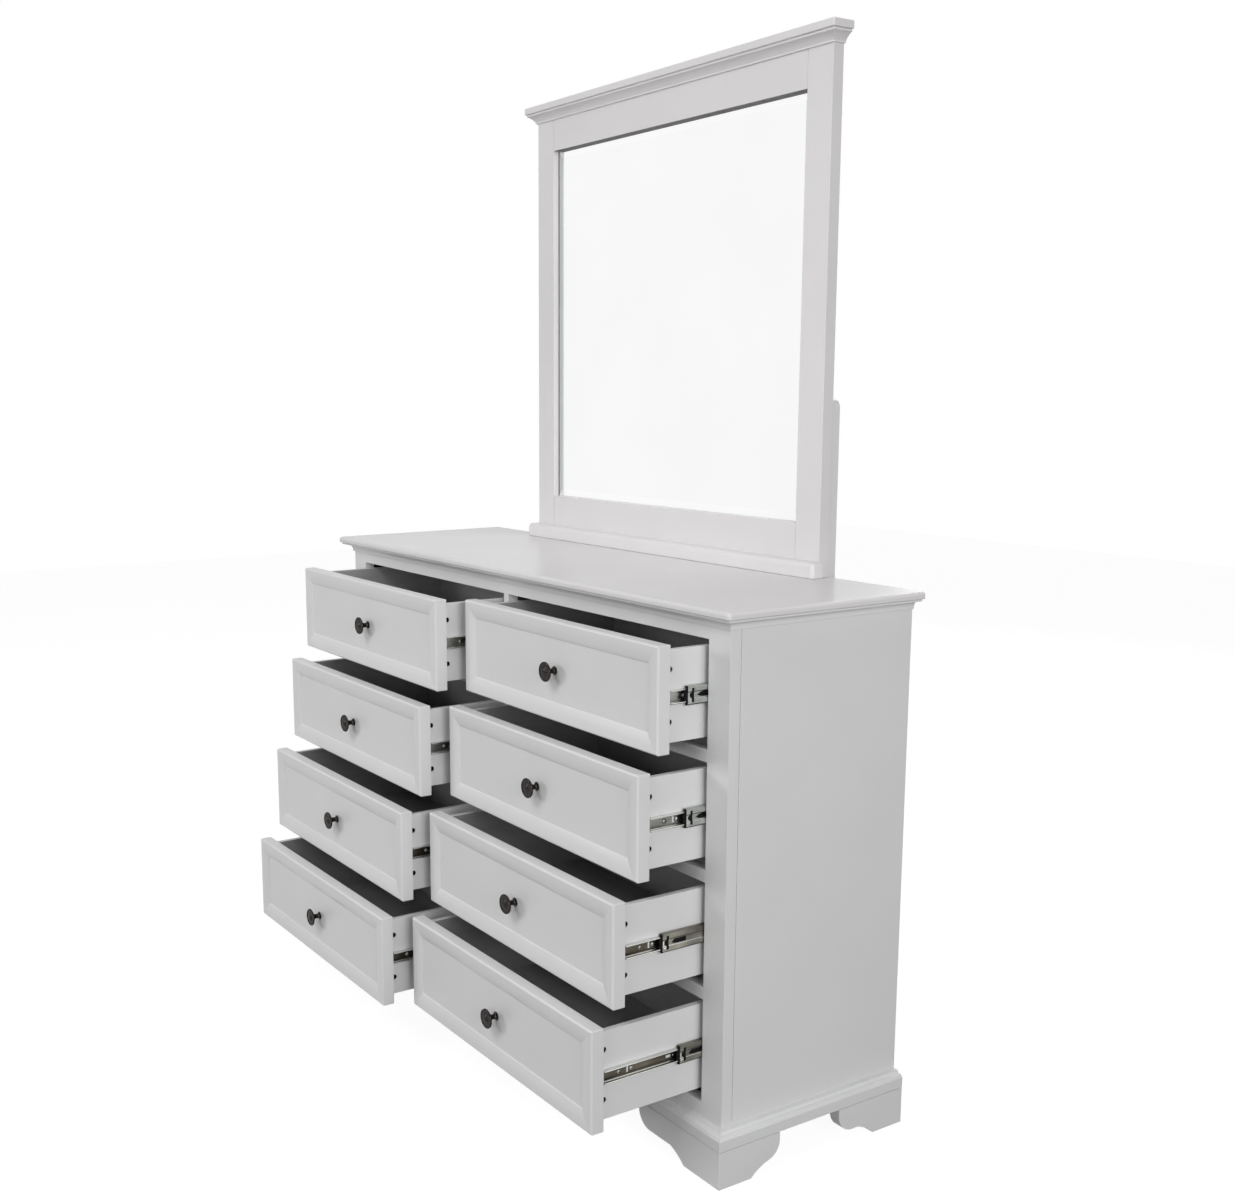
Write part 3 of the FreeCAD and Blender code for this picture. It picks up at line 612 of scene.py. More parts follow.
def makeFrontFoot(name, side, reach, thick, instead):
    # a front and a side bracket, mitred together
    nose = front - base["overhang"] + foot["setBack"]
    corner = Vector((side * reach, nose, 0)) * mm
    mitre = Vector((side, 1, 0)).normalized()
    line = bracketOutline(foot["frontToe"], foot["frontShelf"], foot["frontRun"])
    shell = loft([[(side * (reach - a), y, z) for a, z in line] for y in (nose, nose + thick)])
    sliced(shell, corner, mitre, clear_outer=True)
    line = bracketOutline(foot["sideToe"], foot["sideShelf"], foot["sideRun"])
    other = loft([[(side * x, nose + a, z) for a, z in line] for x in (reach - thick, reach)])
    sliced(other, corner, mitre, clear_inner=True)
    half = bpy.data.meshes.new("sideBracket")
    other.to_mesh(half)
    other.free()
    shell.from_mesh(half)
    bmesh.ops.remove_doubles(shell, verts=shell.verts, dist=hair / 2 * mm)
    glueBlock(shell, side, reach - thick, nose + thick)
    hangWhite(name, meshFrom(name, shell, [white]), 1.0, instead)


def makeRearFoot(name, side, reach, thick, instead):
    inner = reach - thick
    line = bracketOutline(foot["sideToe"], foot["rearShelf"], foot["rearRun"])
    shell = loft([[(side * x, back - a, z) for a, z in line] for x in (inner, reach)])
    line = [(inner, 0), (inner, foot["height"]), (inner - foot["backWidth"], foot["height"]),
            (inner - foot["backToe"], 0)]
    loft([[(side * x, y, z) for x, z in line] for y in (back - thick, back)], shell)
    glueBlock(shell, side, inner, back - thick - foot["block"])
    hangWhite(name, meshFrom(name, shell, [white]), 0.8, instead)


def makeFeet():
    # the brackets stop a hair short of the moulding and behind it, which leaves a fine joint line
    reach = cabinet["half"] + base["overhang"] - foot["setBack"]
    for column, side in columns.items():
        makeFrontFoot(column + "FrontFoot", side, reach, foot["thickness"],
                      ["front_feet"] if side > 0 else [])
        makeRearFoot(column + "RearFoot", side, reach, foot["thickness"],
                     ["rear_feet"] if side > 0 else [])


makeFeet()
print("cabinet ready")


# Mirror

mirror = {
    "half": 500, "thickness": 26, "middle": 1500, "top": 2041,
    "bevelWidth": 27, "bevelDepth": 0.15, "bevelSoftness": 0.4, "arris": 0.3, "corner": 0.5,
}
mirrorFace = back - mirror["thickness"]


def paintedShadeUnderTopRail(place, normal):
    # the reveal under the top rail is charcoal: painted shade for its unlit underside
    return 1 if normal.z < -square and place.z > mirror["middle"] else 0


# the frame is lacquer, with charcoal as painted shade under the top rail
easedNode("mirror_frame", 0.8, [mirrorWhite, charcoal], paintedShadeUnderTopRail, steps=3)
easedNode("mirror_backboard", 0.3, [rearBoard])


def nodeBox(nodeName):
    low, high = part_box(nodeName)
    return low / mm, high / mm


def makeGlass():
    low, high = nodeBox("mirror_glass")
    corners = (low.x, low.z), (high.x, high.z)
    arris, bevel, soft = mirror["arris"], mirror["bevelWidth"], mirror["bevelSoftness"]
    edges = [(arris, high.y), (0, high.y - arris), (0, low.y + mirror["bevelDepth"]),
             (bevel - soft, low.y + hair), (bevel + soft, low.y)]
    rings = [roundedLoop(*corners, inset, mirror["corner"], layUpright(y), 2)
             for inset, y in edges]

    def choose(place, normal):
        # the bevels at the sides and those at the top and bottom mirror different places, so each
        # takes its own silvering copy: painted reflection, brighter at the top and bottom, darker
        # at the sides
        aside = high.x - abs(place.x)
        upright = min(place.z - low.z, high.z - place.z)
        if min(aside, upright) > bevel - soft:
            return 0
        return 2 if aside < upright else 1

    mesh = meshFrom("bevelledGlass", loft(rings), silver, choose, 20)
    hang("bevelledGlass", mesh, "cabinet", instead=["mirror_glass"])


makeGlass()

# a black strip whose black is painted shade for the gap beside the glass
shadeStrip = {"half": 433, "low": 1134, "high": 1949, "proud": 0.3, "tuck": 0.3, "deep": 1.0, "gap": 0.05}


def makeShadeStrip():
    # a black strip up each side fills the gap between the frame's reveal and the glass: painted
    # shade for the dark gap there
    shell = bmesh.new()
    glassFace = nodeBox("mirror_glass")[0].y
    for side in columns.values():
        ends = sorted((side * (shadeStrip["half"] - shadeStrip["proud"]), side * (shadeStrip["half"] + shadeStrip["tuck"])))
        plank((ends[0], glassFace - shadeStrip["deep"], shadeStrip["low"]),
              (ends[1], glassFace - shadeStrip["gap"], shadeStrip["high"]), shell)
    hang("mirrorShadeStrip", meshFrom("mirrorShadeStrip", shell, [plastic]), "cabinet")


makeShadeStrip()

crown = {"toe": (4.3, 3), "cove": 13.5, "hollow": 40, "fillet": (2, 5), "height": 21.5,
         "lowerRound": 1.2, "upperRound": 2.5, "corner": 3, "steps": (3, 5, 4)}


def makeCrown():
    low, high = nodeBox("mirror_crown")
    mesh = roundedBoard("crownBoard", (low.x, low.y, mirror["top"]), tuple(high), crown,
                        mirrorWhite)
    hangWhite("crownBoard", mesh, instead=["mirror_crown"])
    run = mitredRun(coveOutline(crown, mirror["top"] - crown["height"]), mirror["half"],
                    mirrorFace, back)
    hangWhite("crownMoulding", meshFrom("crownMoulding", run, [mirrorWhite]), 0.4)


makeCrown()

# the plinth's foot is cut back as a few points of (inset, height)
plinth = {"undercut": [(3.0, 0), (3.0, 0.7), (0.5, 0.7), (0, 1.2)], "round": 9.5, "corner": 8}


def makePlinth():
    low, high = nodeBox("mirror_plinth_board")
    over = plinth["round"]
    edge = [(inset, low.z + height) for inset, height in plinth["undercut"]]
    edge += [(over - x, z) for x, z in arcPoints((0, high.z - over), over, 0, 90, 8)]
    rings = [roundedLoop(low[:2], high[:2], inset, plinth["corner"], layFlat(height), 6, True)
             for inset, height in edge]
    hangWhite("mirrorPlinth", meshFrom("mirrorPlinth", loft(rings), [mirrorWhite], crease=40),
              instead=["mirror_plinth_board"])


makePlinth()

support = {
    "bolts": (800, 978, 1100, 1330), "across": 468, "bore": 8.5, "sunk": 6,
    # a bolt's washer, head and socket
    "bolt": [(tip, 0), (8, 0), (8, 0.8), (7, 0.9), (7, 3.1), (6.5, 4.0), (5.4, 4.5), (2.4, 4.5),
             (2.4, 2.3), (tip, 2.3)],
}


def makeSupports():
    shell = closedShells("mirror_supports")
    bores, bolts = bmesh.new(), bmesh.new()
    rear = nodeBox("mirror_supports")[1].y
    seat, clear = rear - support["sunk"], rear + 1
    for side in columns.values():
        for height in support["bolts"]:
            spot = (side * support["across"], 0, height)
            turned([(tip, seat), (support["bore"], seat), (support["bore"], clear), (tip, clear)],
                   bores, 32, spot)
            turned([(radius, seat + out) for radius, out in support["bolt"]], bolts, 24, spot)
    mesh = meshFrom("mirrorSupports", carved(shell, bores), [white], crease=30)
    hangWhite("mirrorSupports", mesh, 0.6, ["mirror_supports"])
    hang("supportBolts", meshFrom("supportBolts", bolts, [plated["cast"]], crease=35), "cabinet")


makeSupports()
print("mirror ready")


# Drawer fronts, the same for all eight

drawer = {
    "half": 324.5, "low": 2.5, "high": 192, "thickness": 26.5, "round": 4, "corner": 1.6,
    "rim": 4.5, "border": 34, "drop": 5, "swell": 2.2, "step": 1.5,
    # where the swelling border has a ring, as shares of its width
    "rings": (0.15, 0.3, 0.44, 0.57, 0.69, 0.8, 0.9, 0.975),
    # points of (inset, height): the eased back edge, and the step from the border to the panel
    "backEdge": [(1.2, 0), (0.35, -0.35), (0, -1.2)],
    "quirk": [(0, -1.25), (0.05, -0.45), (0.35, -0.08), (0.9, 0)],
}


def frontMesh():
    face = -drawer["thickness"]
    floor = face + drawer["drop"] + drawer["step"]
    rim, lip, over = drawer["rim"], drawer["border"], drawer["round"]
    edge = drawer["backEdge"] + [(over - a, -b) for a, b in
                                 arcPoints((0, drawer["thickness"] - over), over, 0, 90, 7)]
    edge.append((rim, face))
    # the border swells: nearly flat at the rim, steepest where it meets the panel
    for part in drawer["rings"]:
        edge.append((rim + (lip - rim) * part, face + drawer["drop"] * part ** drawer["swell"]))
    edge += [(lip + a, floor + b) for a, b in drawer["quirk"]]
    corners = (-drawer["half"], drawer["low"]), (drawer["half"], drawer["high"])
    rings = [roundedLoop(*corners, inset, drawer["corner"], layUpright(y)) for inset, y in edge]
    return meshFrom("drawerFront", loft(rings), [white])


# Drawer boxes and the cam locks that hold the fronts

box = {
    "half": 314.3, "inner": 302.3, "depth": 345, "low": 19.5, "high": 181.5, "thickness": 12,
    "bottom": 27.5, "bottomThickness": 6, "ease": 0.7,
}
cam = {"hole": 5.2, "radius": 4.9, "back": 6.8, "heights": (55.5, 147.5), "sunk": 0.6,
       "depth": 8, "length": 6, "chamfer": 0.4, "cross": (3.4, 0.7), "slot": 1.6}


def boxMesh():
    shell, holes = bmesh.new(), bmesh.new()
    for side in columns.values():
        across = sorted((side * box["inner"], side * box["half"]))
        plank((across[0], 0, box["low"]), (across[1], box["depth"], box["high"]), shell)
        start, clear = side * (box["half"] - cam["depth"]), side * (box["half"] + 1)
        for height in cam["heights"]:
            turned([(tip, start), (cam["hole"], start), (cam["hole"], clear), (tip, clear)],
                   holes, 28, (0, cam["back"], height), "x")
    shell = carved(shell, holes)
    inner, floor = box["inner"] - hair, box["bottom"]
    rear = box["depth"] - box["thickness"]
    plank((-inner, rear, box["low"]), (inner, box["depth"], box["high"]), shell)
    plank((-inner, hair, floor), (inner, rear - hair, floor + box["bottomThickness"]), shell)

    def choose(place, normal):
        # a grey lining inside, partly its own colour and partly painted shade for the drawer's
        # shaded inside; white outside
        sides = abs(place.x) < box["inner"] + 1 and abs(normal.x) > square
        end = normal.y < -square and place.y > rear - 1
        bottom = abs(place.x) < inner - 1 and place.y < rear and abs(normal.z) > square
        return 1 if sides or end or bottom else 0

    return meshFrom("drawerBox", shell, [white, lining], choose)


def camMesh():
    # a cam sits in each hole, a cross slot cut in its face; its black is painted shade for the dark
    # of the deep hole
    shell, slots = bmesh.new(), bmesh.new()
    radius, chamfer = cam["radius"], cam["chamfer"]
    for side in columns.values():
        face = side * (box["half"] - cam["sunk"])
        end = face - side * cam["length"]
        for height in cam["heights"]:
            turned([(tip, end), (radius, end), (radius, face - side * chamfer),
                    (radius - chamfer, face), (tip, face)], shell, 28,
                   (0, cam["back"], height), "x")
            loft([[(x, cam["back"] + a, height + b) for a, b in crossOutline(*cam["cross"])]
                  for x in (face - side * cam["slot"], face + side)], slots)
    return meshFrom("camLocks", carved(shell, slots), [plastic], crease=30)


# Knobs and screws, their outlines as (radius, height)

knob = {
    "middle": 97.25, "seat": -20,
    "outline": [
        (tip, 0), (8.2, 0), (8.5, 0.4), (8.5, 1.3), (8.1, 1.9), (7.0, 2.5), (5.9, 3.3),
        (5.25, 4.6), (5.0, 6.4), (5.0, 8.6), (5.25, 10.6), (5.9, 12.6), (7.2, 14.7), (9.4, 16.7),
        (12.2, 18.3), (15.2, 19.4), (17.6, 20.1), (18.7, 20.7), (19.0, 21.5), (19.0, 22.6),
        (18.75, 23.4), (18.2, 23.9), (17.5, 24.0), (16.95, 23.75), (16.6, 23.3), (16.3, 22.8),
        (15.9, 22.6), (15.4, 22.7), (14.0, 22.75), (12.0, 22.75), (10.2, 22.9), (8.9, 23.2),
        (8.1, 23.7), (7.4, 24.5), (6.3, 25.2), (4.6, 25.7), (2.4, 25.95), (tip, 26),
    ],
}


def knobMesh():
    outline = [(radius, knob["seat"] - height) for radius, height in knob["outline"]]
    return meshFrom("knob", turned(outline, None, 56, (0, 0, knob["middle"])), [knobMetal])


screw = {
    "pan": [(tip, 0), (4.4, 0), (4.6, 0.5), (4.3, 1.3), (3.3, 2.1), (1.8, 2.6), (tip, 2.7)],
    "cross": (2.2, 0.45), "slot": (1.4, 4),
}


def panScrews(name, places, axis, finish):
    # pan heads with a cross recess; each place is (x, y, z, way)
    heads, slots = bmesh.new(), bmesh.new()
    for x, y, z, way in places:
        turned([(radius, way * height) for radius, height in screw["pan"]], heads, 20, (x, y, z),
               axis)
        start = y if axis == "y" else x
        rings = []
        for end in [start + way * depth for depth in screw["slot"]]:
            rings.append([(x + a, end, z + b) if axis == "y" else (end, y + a, z + b)
                          for a, b in crossOutline(*screw["cross"])])
        loft(rings, slots)
    return meshFrom(name, carved(heads, slots), [finish], crease=32)


# Runners: three folded members inside each other

runner = {
    "half": 327, "middle": 100.5, "length": 350, "gauge": 1.1, "bend": 1.65,
    "outer": {"web": 0, "end": 9.6, "height": 45, "lip": 5.0},
    "carrier": {"web": 1.6, "end": 11.1, "height": 34, "lip": 4.5, "band": (5.6, 1.0)},
    "inner": {"web": 12.7, "end": 3.2, "height": 24, "lip": 2.2},
    "innerStart": 2, "outerStart": 12, "carrierAt": 8, "cutReach": 3,
    "bendShare": 0.45, "bendSteps": 4,  # a bend takes at most this share of a straight
    # cuts in a web, as points along it and up from its middle
    "window": [(20, -1.6), (26, 4.4), (52, 4.4), (52, -4.4), (28, -4.4)],
    # the wide window bares more of the black latch: painted shade on the pressed band of the top
    # two rows
    "shadedWideWindow": [(20, -0.8), (27, 3.6), (40, 6.4), (58, 6.4), (58, -5.2), (29, -4.0)],
    "latchSlot": [(8.2, -12.5), (13.6, -12.5), (13.6, 12.5), (8.2, 12.5)],
    "latchRound": (4.4, 4.9),
    "upright": [(52, -5.5), (56.5, -5.5), (56.5, 5.5), (52, 5.5)],
    "level": [(138, -2.25), (149, -2.25), (149, 2.25), (138, 2.25)],
    "pilots": (31, 154), "pilotRadius": 1.7, "screws": (37, 64),
}


def foldedOutline(member):
    # the sheet's centre line with round bends, then out along one face and back along the other
    gauge, bend = runner["gauge"], runner["bend"]
    share, steps = runner["bendShare"], runner["bendSteps"]
    way = 1 if member["end"] > member["web"] else -1
    web, end = member["web"] + way * gauge / 2, member["end"] - way * gauge / 2
    high = member["height"] / 2 - gauge / 2
    edge = member["height"] / 2 - member["lip"]
    path = [(end, edge), (end, high), (web, high)]
    if "band" in member:
        # the middle of the web is pressed in between two shallow steps
        band, depth = member["band"]
        path += [(web, band + depth), (web + way * depth, band),
                 (web + way * depth, -band), (web, -band - depth)]
    path = [Vector(p) for p in path + [(web, -high), (end, -high), (end, -edge)]]
    line = [path[0]]
    for before, corner, after in zip(path, path[1:], path[2:]):
        toward, away = before - corner, after - corner
        reach = min(bend, toward.length * share, away.length * share)
        start, stop = corner + toward.normalized() * reach, corner + away.normalized() * reach
        for i in range(steps + 1):
            t = i / steps
            line.append(start * (1 - t) ** 2 + corner * 2 * t * (1 - t) + stop * t ** 2)
    line.append(path[-1])
    oneFace, otherFace = [], []
    for i, point in enumerate(line):
        ways = [(b - a).normalized() for a, b in zip(line[max(i - 1, 0):i + 1], line[i:i + 2])
                if (b - a).length > 1e-6]
        along = sum(ways, Vector((0, 0))).normalized()
        across = Vector((-along.y, along.x)) * gauge / 2
        oneFace.append(point + across)
        otherFace.append(point - across)
    return oneFace + otherFace[::-1]


def memberPair(member, start, cuts=()):
    shell, holes = bmesh.new(), bmesh.new()
    outline = foldedOutline(member)
    for side in columns.values():
        rings = [[(side * (runner["half"] - reach), y, z) for reach, z in outline]
                 for y in (start, start + runner["length"])]
        loft(rings, shell)
        web = side * (runner["half"] - member["web"])
        for cut in cuts:
            loft([[(x, start + y, z) for y, z in cut]
                  for x in (web - runner["cutReach"], web + runner["cutReach"])], holes)
    if cuts:
        return carved(shell, holes)
    holes.free()
    return shell


# where the balls keep the races bright, where faces looking up are painted bright as painted
# highlight, and where faces looking down are darkened as painted shade
wearAndShade = {"race": 9.6, "lowRace": -9, "upper": (5, 7), "ledge": -5, "up": 0.3, "down": -0.12}


def innerWearAndShade(place, normal):
    # faces looking down low on the member: painted shade
    if normal.z < -wearAndShade["up"] and place.z < wearAndShade["lowRace"]:
        return 2
    # races worn bright by the balls, and faces looking up as painted highlight
    return 1 if abs(place.z) > wearAndShade["race"] or normal.z > wearAndShade["up"] else 0


def carrierWearAndShade(place, normal):
    # faces looking up on the lower part: painted highlight
    if place.z < wearAndShade["ledge"] and normal.z > wearAndShade["up"]:
        return 1
    bottom, top = wearAndShade["upper"]
    shaded = place.z < wearAndShade["lowRace"] or bottom < place.z < top
    # faces looking down in the shaded bands: painted shade
    return 2 if shaded and normal.z < wearAndShade["down"] else 0


def innerMesh(name, finish):
    pilots = [arcPoints((y, 0), runner["pilotRadius"], 0, 360, 12)[:-1] for y in runner["pilots"]]
    shell = memberPair(runner["inner"], runner["innerStart"],
                       [runner["upright"], runner["level"], *pilots])
    return meshFrom(name, shell, [finish, plated["bright"], plated["paintedShade"]], innerWearAndShade, 30)


def carrierMesh(name, finish, window):
    wide, high = runner["latchRound"]
    slot = runner["latchSlot"]
    slot = slot + arcPoints((slot[0][0], 0), wide, 90, 270, 12, high)
    shell = memberPair(runner["carrier"], 0, [window, slot])
    return meshFrom(name, shell, [finish, plated["bright"], plated["paintedShade"]], carrierWearAndShade, 30)


def outerMesh():
    return meshFrom("outerMembers", memberPair(runner["outer"], 0), [plated["rolled"]], crease=30)


latch = {
    # across the runner and up, then along it and up; each outline with how deep it reaches
    "cap": [(1.75, -16.6), (6.4, -16.6), (6.4, -13.2), (3.1, -12.6), (3.1, 12.6),
            (6.4, 13.2), (6.4, 16.6), (1.75, 16.6)],
    "capAlong": (-2.9, -0.2),
    "nose": [(-7.6, -8.6), (-8.4, -5.0), (-8.4, -1.8), (-6.0, -1.4), (-6.0, 1.4), (-8.4, 1.8),
             (-8.4, 6.5), (-7.0, 10.6), (-2.4, 11.2), (-2.4, -9.6)],
    "plate": [(-2.5, -13.2), (16, -13.2), (16, 13.2), (-2.5, 13.2)],
    "tongue": [(-2.5, -9.2), (62, -9.2), (62, 9.2), (-2.5, 9.2)],
    "depths": {"nose": (1.75, 3.1), "plate": (2.8, 3.1), "tongue": (4.0, 8.6)},
    # spring tabs: along, up, and how far past the web they start and end
    "tabs": (((1.2, 3.4), (-4.2, 3.4), (-0.45, -0.9)), ((1.6, 7.6), (-9.9, -7.4), (0.35, -0.9))),
}


def latchMesh():
    # the black retainer: an end cap, a nose ahead of it, a plate and a tongue that show in the cuts
    shell = bmesh.new()
    for side in columns.values():
        loft([[(side * (runner["half"] - reach), y, z) for reach, z in latch["cap"]]
              for y in latch["capAlong"]], shell)
        for part, depths in latch["depths"].items():
            loft([[(side * (runner["half"] - reach), y, z) for y, z in latch[part]]
                  for reach in depths], shell)
    return meshFrom("latches", shell, [plastic], crease=30)


def tabMesh():
    # two small spring tabs, proud of the web beside the latch
    shell = bmesh.new()
    web = runner["half"] - runner["carrier"]["web"]
    for side in columns.values():
        for (y0, y1), (z0, z1), steps in latch["tabs"]:
            ends = sorted(side * (web + step) for step in steps)
            plank((ends[0], y0, z0), (ends[1], y1, z1), shell)
    return meshFrom("latchTabs", shell, [plated["bright"]], crease=30)


cage = {"depth": 7.2, "start": 66, "half": 3, "thin": 0.25, "balls": 8, "pitch": 17,
        "ballRadius": 1.85}


def cageMesh():
    # a thin strip in each race carries the balls
    shell = bmesh.new()
    race = (runner["carrier"]["height"] / 2 - runner["gauge"]
            + runner["inner"]["height"] / 2) / 2
    half, thin = cage["half"], cage["thin"]
    for side in columns.values():
        x = side * (runner["half"] - cage["depth"])
        for z in (-race, race):
            plank((x - half, cage["start"], z - thin),
                  (x + half, cage["start"] + cage["balls"] * cage["pitch"], z + thin), shell)
            for i in range(cage["balls"]):
                spot = Vector((x, cage["start"] + (i + 0.5) * cage["pitch"], z)) * mm
                bmesh.ops.create_uvsphere(shell, u_segments=14, v_segments=8,
                                          radius=cage["ballRadius"] * mm,
                                          matrix=Matrix.Translation(spot))
    return meshFrom("ballCages", shell, [plated["cast"]], crease=40)


lever = {
    "endGap": 8, "half": 7,
    "outline": [(0, 0), (2.2, 3.0), (4.6, 8.0), (5.0, 11.0), (4.4, 14.0), (4.4, 30.0), (5.0, 34.0),
                (5.0, 38.0), (0, 38.0)],
}


def leverMesh():
    # the finger lever at the rear of each inner member
    shell = bmesh.new()
    start = (runner["innerStart"] + runner["length"] - lever["endGap"]
             - lever["outline"][-1][1])
    seat = box["half"] + runner["gauge"]
    for side in columns.values():
        loft([[(side * (seat + reach), start + y, z) for reach, y in lever["outline"]]
              for z in (runner["middle"] - lever["half"], runner["middle"] + lever["half"])], shell)
    return meshFrom("releaseLevers", shell, [plastic], crease=30)


shapes = {
    "front": frontMesh(), "box": boxMesh(), "cams": camMesh(), "knob": knobMesh(),
    "latch": latchMesh(), "cage": cageMesh(), "lever": leverMesh(), "tabs": tabMesh(),
    "outer": outerMesh(),
    "knobScrew": panScrews("knobScrew", [(0, 0, knob["middle"], 1)], "y", plated["cast"]),
    "runnerScrews": panScrews("runnerScrews", [
        (side * (box["half"] + runner["gauge"]), y, 0, side)
        for side in columns.values() for y in runner["screws"]], "x", plated["rolled"]),
}

# the zinc is painted differently from row to row, paler at the top and browner low down: painted
# reflection, as the low runners mirror the shaded floor near the cabinet and the high ones the far
# white floor
rowReflection = {
    # the top two rows take the wide window, its extra black painted shade
    "top": ("topRowReflection", "pale", "shadedWideWindow"), "upper": ("rolled", "pale", "shadedWideWindow"),
    "lower": ("lowRowReflection", "lowCarrierReflection", "window"), "bottom": ("lowRowReflection", "lowCarrierReflection", "window"),
}
for row, (web, carrier, window) in rowReflection.items():
    shapes[row + "Inner"] = innerMesh(row + "InnerMembers", plated[web])
    shapes[row + "Carrier"] = carrierMesh(row + "MiddleMembers", plated[carrier], runner[window])
print("drawer shapes ready")

# each piece's shape, slot, what it hangs on, the CAD piece that it stands for, and its easing
fittings = {
    "frontPanel": ("front", "white_lacquer", "drawer", "front", 0),
    "boxBoards": ("box", "lacquered_board", "drawer", "box", box["ease"]),
    "cams": ("cams", "black_nickel", "drawer", None, 0),
    "knob": ("knob", "black_nickel", "drawer", "hardware", 0),
    "knobScrew": ("knobScrew", "zinc_plated_steel", "drawer", None, 0),
    "levers": ("lever", "black_nickel", "drawer", None, 0.4),
    "innerMembers": ("Inner", "zinc_plated_steel", "side", "inner_runners", 0),
    "runnerScrews": ("runnerScrews", "zinc_plated_steel", "side", None, 0),
    "middleMembers": ("Carrier", "zinc_plated_steel", "carrier", "middle_runners", 0),
    "latches": ("latch", "black_nickel", "carrier", None, 0),
    "latchTabs": ("tabs", "zinc_plated_steel", "carrier", None, 0.15),
    "ballCages": ("cage", "zinc_plated_steel", "carrier", None, 0),
    "outerMembers": ("outer", "zinc_plated_steel", "cabinet", None, 0),
}


def makeDrawer(row, column):
    name = f"{row}_{column}"
    low, high = nodeBox(name + "_box")
    middle, height = (low.x + high.x) / 2, low.z - box["low"]
    level = height + runner["middle"]
    slipped = nodeBox(name + "_middle_runners")[0].y + runner["carrierAt"]
    fixed = front + drawer["thickness"] + runner["outerStart"]
    hooks = {
        "drawer": (name + "_drawer", (middle, low.y, height)),
        "side": (name + "_drawer", (middle, low.y, level)),
        "carrier": (name + "_middle_members", (middle, slipped, level)),
        "cabinet": ("cabinet", (middle, fixed, level)),
    }
    for piece, (shape, slot, hook, node, ease) in fittings.items():
        instead = [f"{name}_{node}"] if node else []
        if piece == "outerMembers" and name == "top_right":
            # one CAD piece holds all the outer members, so only the last one stands for it
            instead = ["runner_outer_members"]
        mesh = shapes.get(row + shape) or shapes[shape]
        body, place = hooks[hook]
        hang(f"{name}_{piece}", mesh, body, place, ease, instead=instead)


for row in rows:
    for column in columns:
        makeDrawer(row, column)
print("drawers ready")


# Floor, air and lamps, in metres and watts

studio = {
    "floor": (0.18, 0.18, 0.18), "fleck": (6, 3.0), "fleckShade": 0.985, "rough": 0.9,
    "shine": 0.1, "floorGlow": 0.93, "reach": 9.0, "tiles": 12,
    "air": (1, 1, 1, 1), "fill": 0.08, "backdrop": (1, 1, 1, 1),
    "aim": (0, 0, 0.9),  # where a lamp points unless it says otherwise
    "lamps": {
        "key": {"at": (-2.6, -4.2, 1.9), "size": (1.6, 1.4), "power": 62},
        "frontRight": {"at": (2.6, -4.4, 1.7), "size": (1.8, 1.4), "power": 27},
        "top": {"at": (0.6, -3.8, 4.2), "size": (2.6, 2.0), "power": 82, "mirrored": False},
        "overhead": {"at": (0.4, -0.4, 5.2), "aim": (0, 0, 1.0), "size": (4.0, 3.0), "power": 32},
        "right": {"at": (4.5, -0.7, 1.9), "aim": (0.3, 0, 0.9), "size": (2.4, 1.8), "power": 98},
        "rear": {"at": (-1.6, 4.6, 3.0), "size": (3.0, 2.4), "power": 58},
    },
}


def seenDirectly(tree):
    # the backdrop is plain white to the camera, in metal and through glass
    path = add(tree, "ShaderNodeLightPath")
    last = path, "Is Camera Ray"
    for ray in ("Is Glossy Ray", "Is Transmission Ray"):
        either = add(tree, "ShaderNodeMath", operation="MAXIMUM")
        wire(*last, either, 0)
        wire(path, ray, either, 1)
        last = either, "Value"
    return last


def makeAir():
    air = bpy.data.worlds.new("studioAir")
    air.use_nodes = True
    bpy.context.scene.world = air
    tree = air.node_tree
    tree.nodes.clear()
    lit = add(tree, "ShaderNodeBackground", {"Color": studio["air"], "Strength": studio["fill"]})
    shown = add(tree, "ShaderNodeBackground", {"Color": studio["backdrop"], "Strength": 1.0})
    mix = add(tree, "ShaderNodeMixShader")
    wire(*seenDirectly(tree), mix, "Fac")
    wire(lit, "Background", mix, 1)
    wire(shown, "Background", mix, 2)
    wire(mix, "Shader", add(tree, "ShaderNodeOutputWorld"), "Surface")


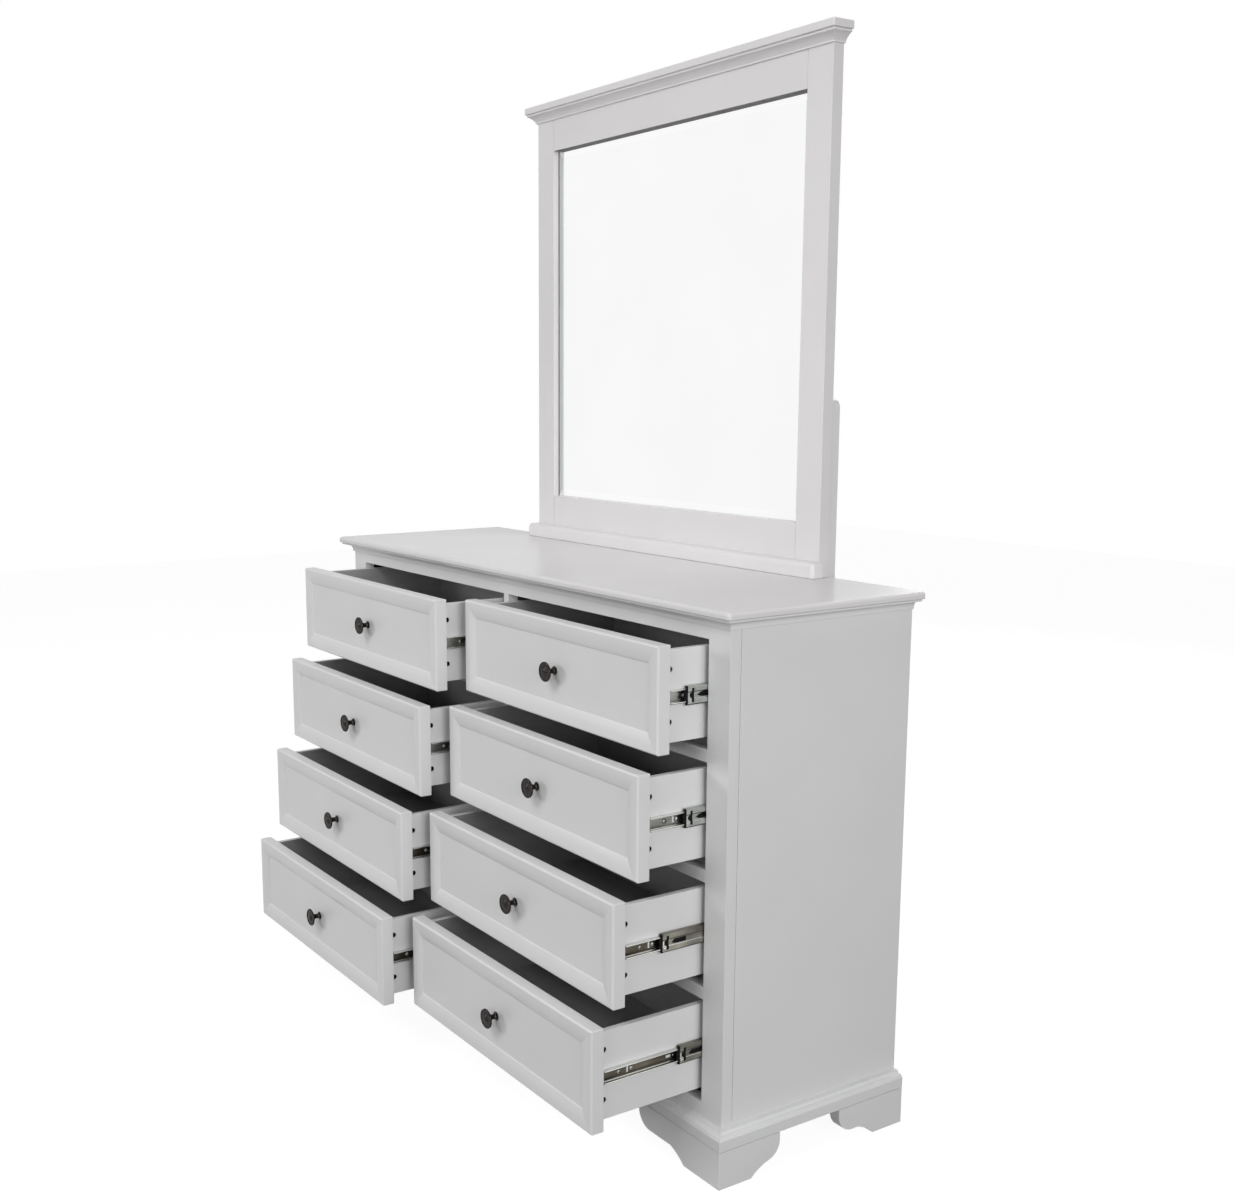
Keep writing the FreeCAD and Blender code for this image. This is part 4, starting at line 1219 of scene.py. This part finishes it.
def makeFloor():
    finish, surface = freshFinish("paleFloor")
    tree = finish.node_tree
    flecked = [value * studio["fleckShade"] for value in studio["floor"]]
    tint(surface, grain(surface, *studio["fleck"]), (studio["floor"], flecked))
    fill(surface, {"Roughness": studio["rough"], "Specular IOR Level": studio["shine"]})
    glow = add(tree, "ShaderNodeEmission", {"Color": studio["backdrop"]})
    power = add(tree, "ShaderNodeMath", operation="MULTIPLY")
    power.inputs[1].default_value = studio["floorGlow"]
    wire(*seenDirectly(tree), power, 0)
    wire(power, "Value", glow, "Strength")
    both = add(tree, "ShaderNodeAddShader")
    wire(surface, "BSDF", both, 0)
    wire(glow, "Emission", both, 1)
    wire(both, "Shader", tree.nodes["Material Output"], "Surface")
    shell = bmesh.new()
    bmesh.ops.create_grid(shell, x_segments=studio["tiles"], y_segments=studio["tiles"],
                          size=studio["reach"])
    floor = bpy.data.objects.new("floor", meshFrom("floor", shell, [finish]))
    bpy.context.collection.objects.link(floor)


def makeLamps():
    for name, lamp in studio["lamps"].items():
        light = bpy.data.lights.new(name, "AREA")
        light.shape = "RECTANGLE"
        light.size, light.size_y = lamp["size"]
        light.energy = lamp["power"]
        placed = bpy.data.objects.new(name, light)
        placed.location = lamp["at"]
        aim = Vector(lamp.get("aim", studio["aim"])) - Vector(lamp["at"])
        placed.rotation_euler = aim.to_track_quat("-Z", "Y").to_euler()
        # a lamp that isn't mirrored throws no patches off the glass on to the top board
        placed.visible_glossy = lamp.get("mirrored", True)
        bpy.context.collection.objects.link(placed)


makeAir()
makeFloor()
makeLamps()
bpy.context.scene.view_settings.view_transform = "Standard"
print("studio ready")


# Camera, fitted to the photograph's corners

view = {
    "at": (2562.35, -1630.79, 1399.54), "azimuth": 57.24, "elevation": 9.51, "roll": -0.14,
    "lens": 42.438, "sensor": 36, "shift": (0.06231, 0.02447), "farthest": 60000,
}


def makeCamera():
    azimuth, elevation = math.radians(view["azimuth"]), math.radians(view["elevation"])
    away = Vector((math.sin(azimuth) * math.cos(elevation),
                   -math.cos(azimuth) * math.cos(elevation), math.sin(elevation)))
    right = Vector((math.cos(azimuth), math.sin(azimuth), 0))
    up = away.cross(right)
    turn = Matrix.Rotation(math.radians(view["roll"]), 3, away)
    right, up = turn @ right, turn @ up
    data = bpy.data.cameras.new("camera")
    data.lens = view["lens"]
    data.sensor_width = view["sensor"]
    data.sensor_fit = "HORIZONTAL"
    data.shift_x, data.shift_y = view["shift"]
    data.clip_end = view["farthest"] * mm
    camera = bpy.data.objects.new("camera", data)
    bpy.context.collection.objects.link(camera)
    facing = Matrix((right, up, away)).transposed().to_4x4()
    camera.matrix_world = Matrix.Translation(Vector(view["at"]) * mm) @ facing
    bpy.context.scene.camera = camera


makeCamera()
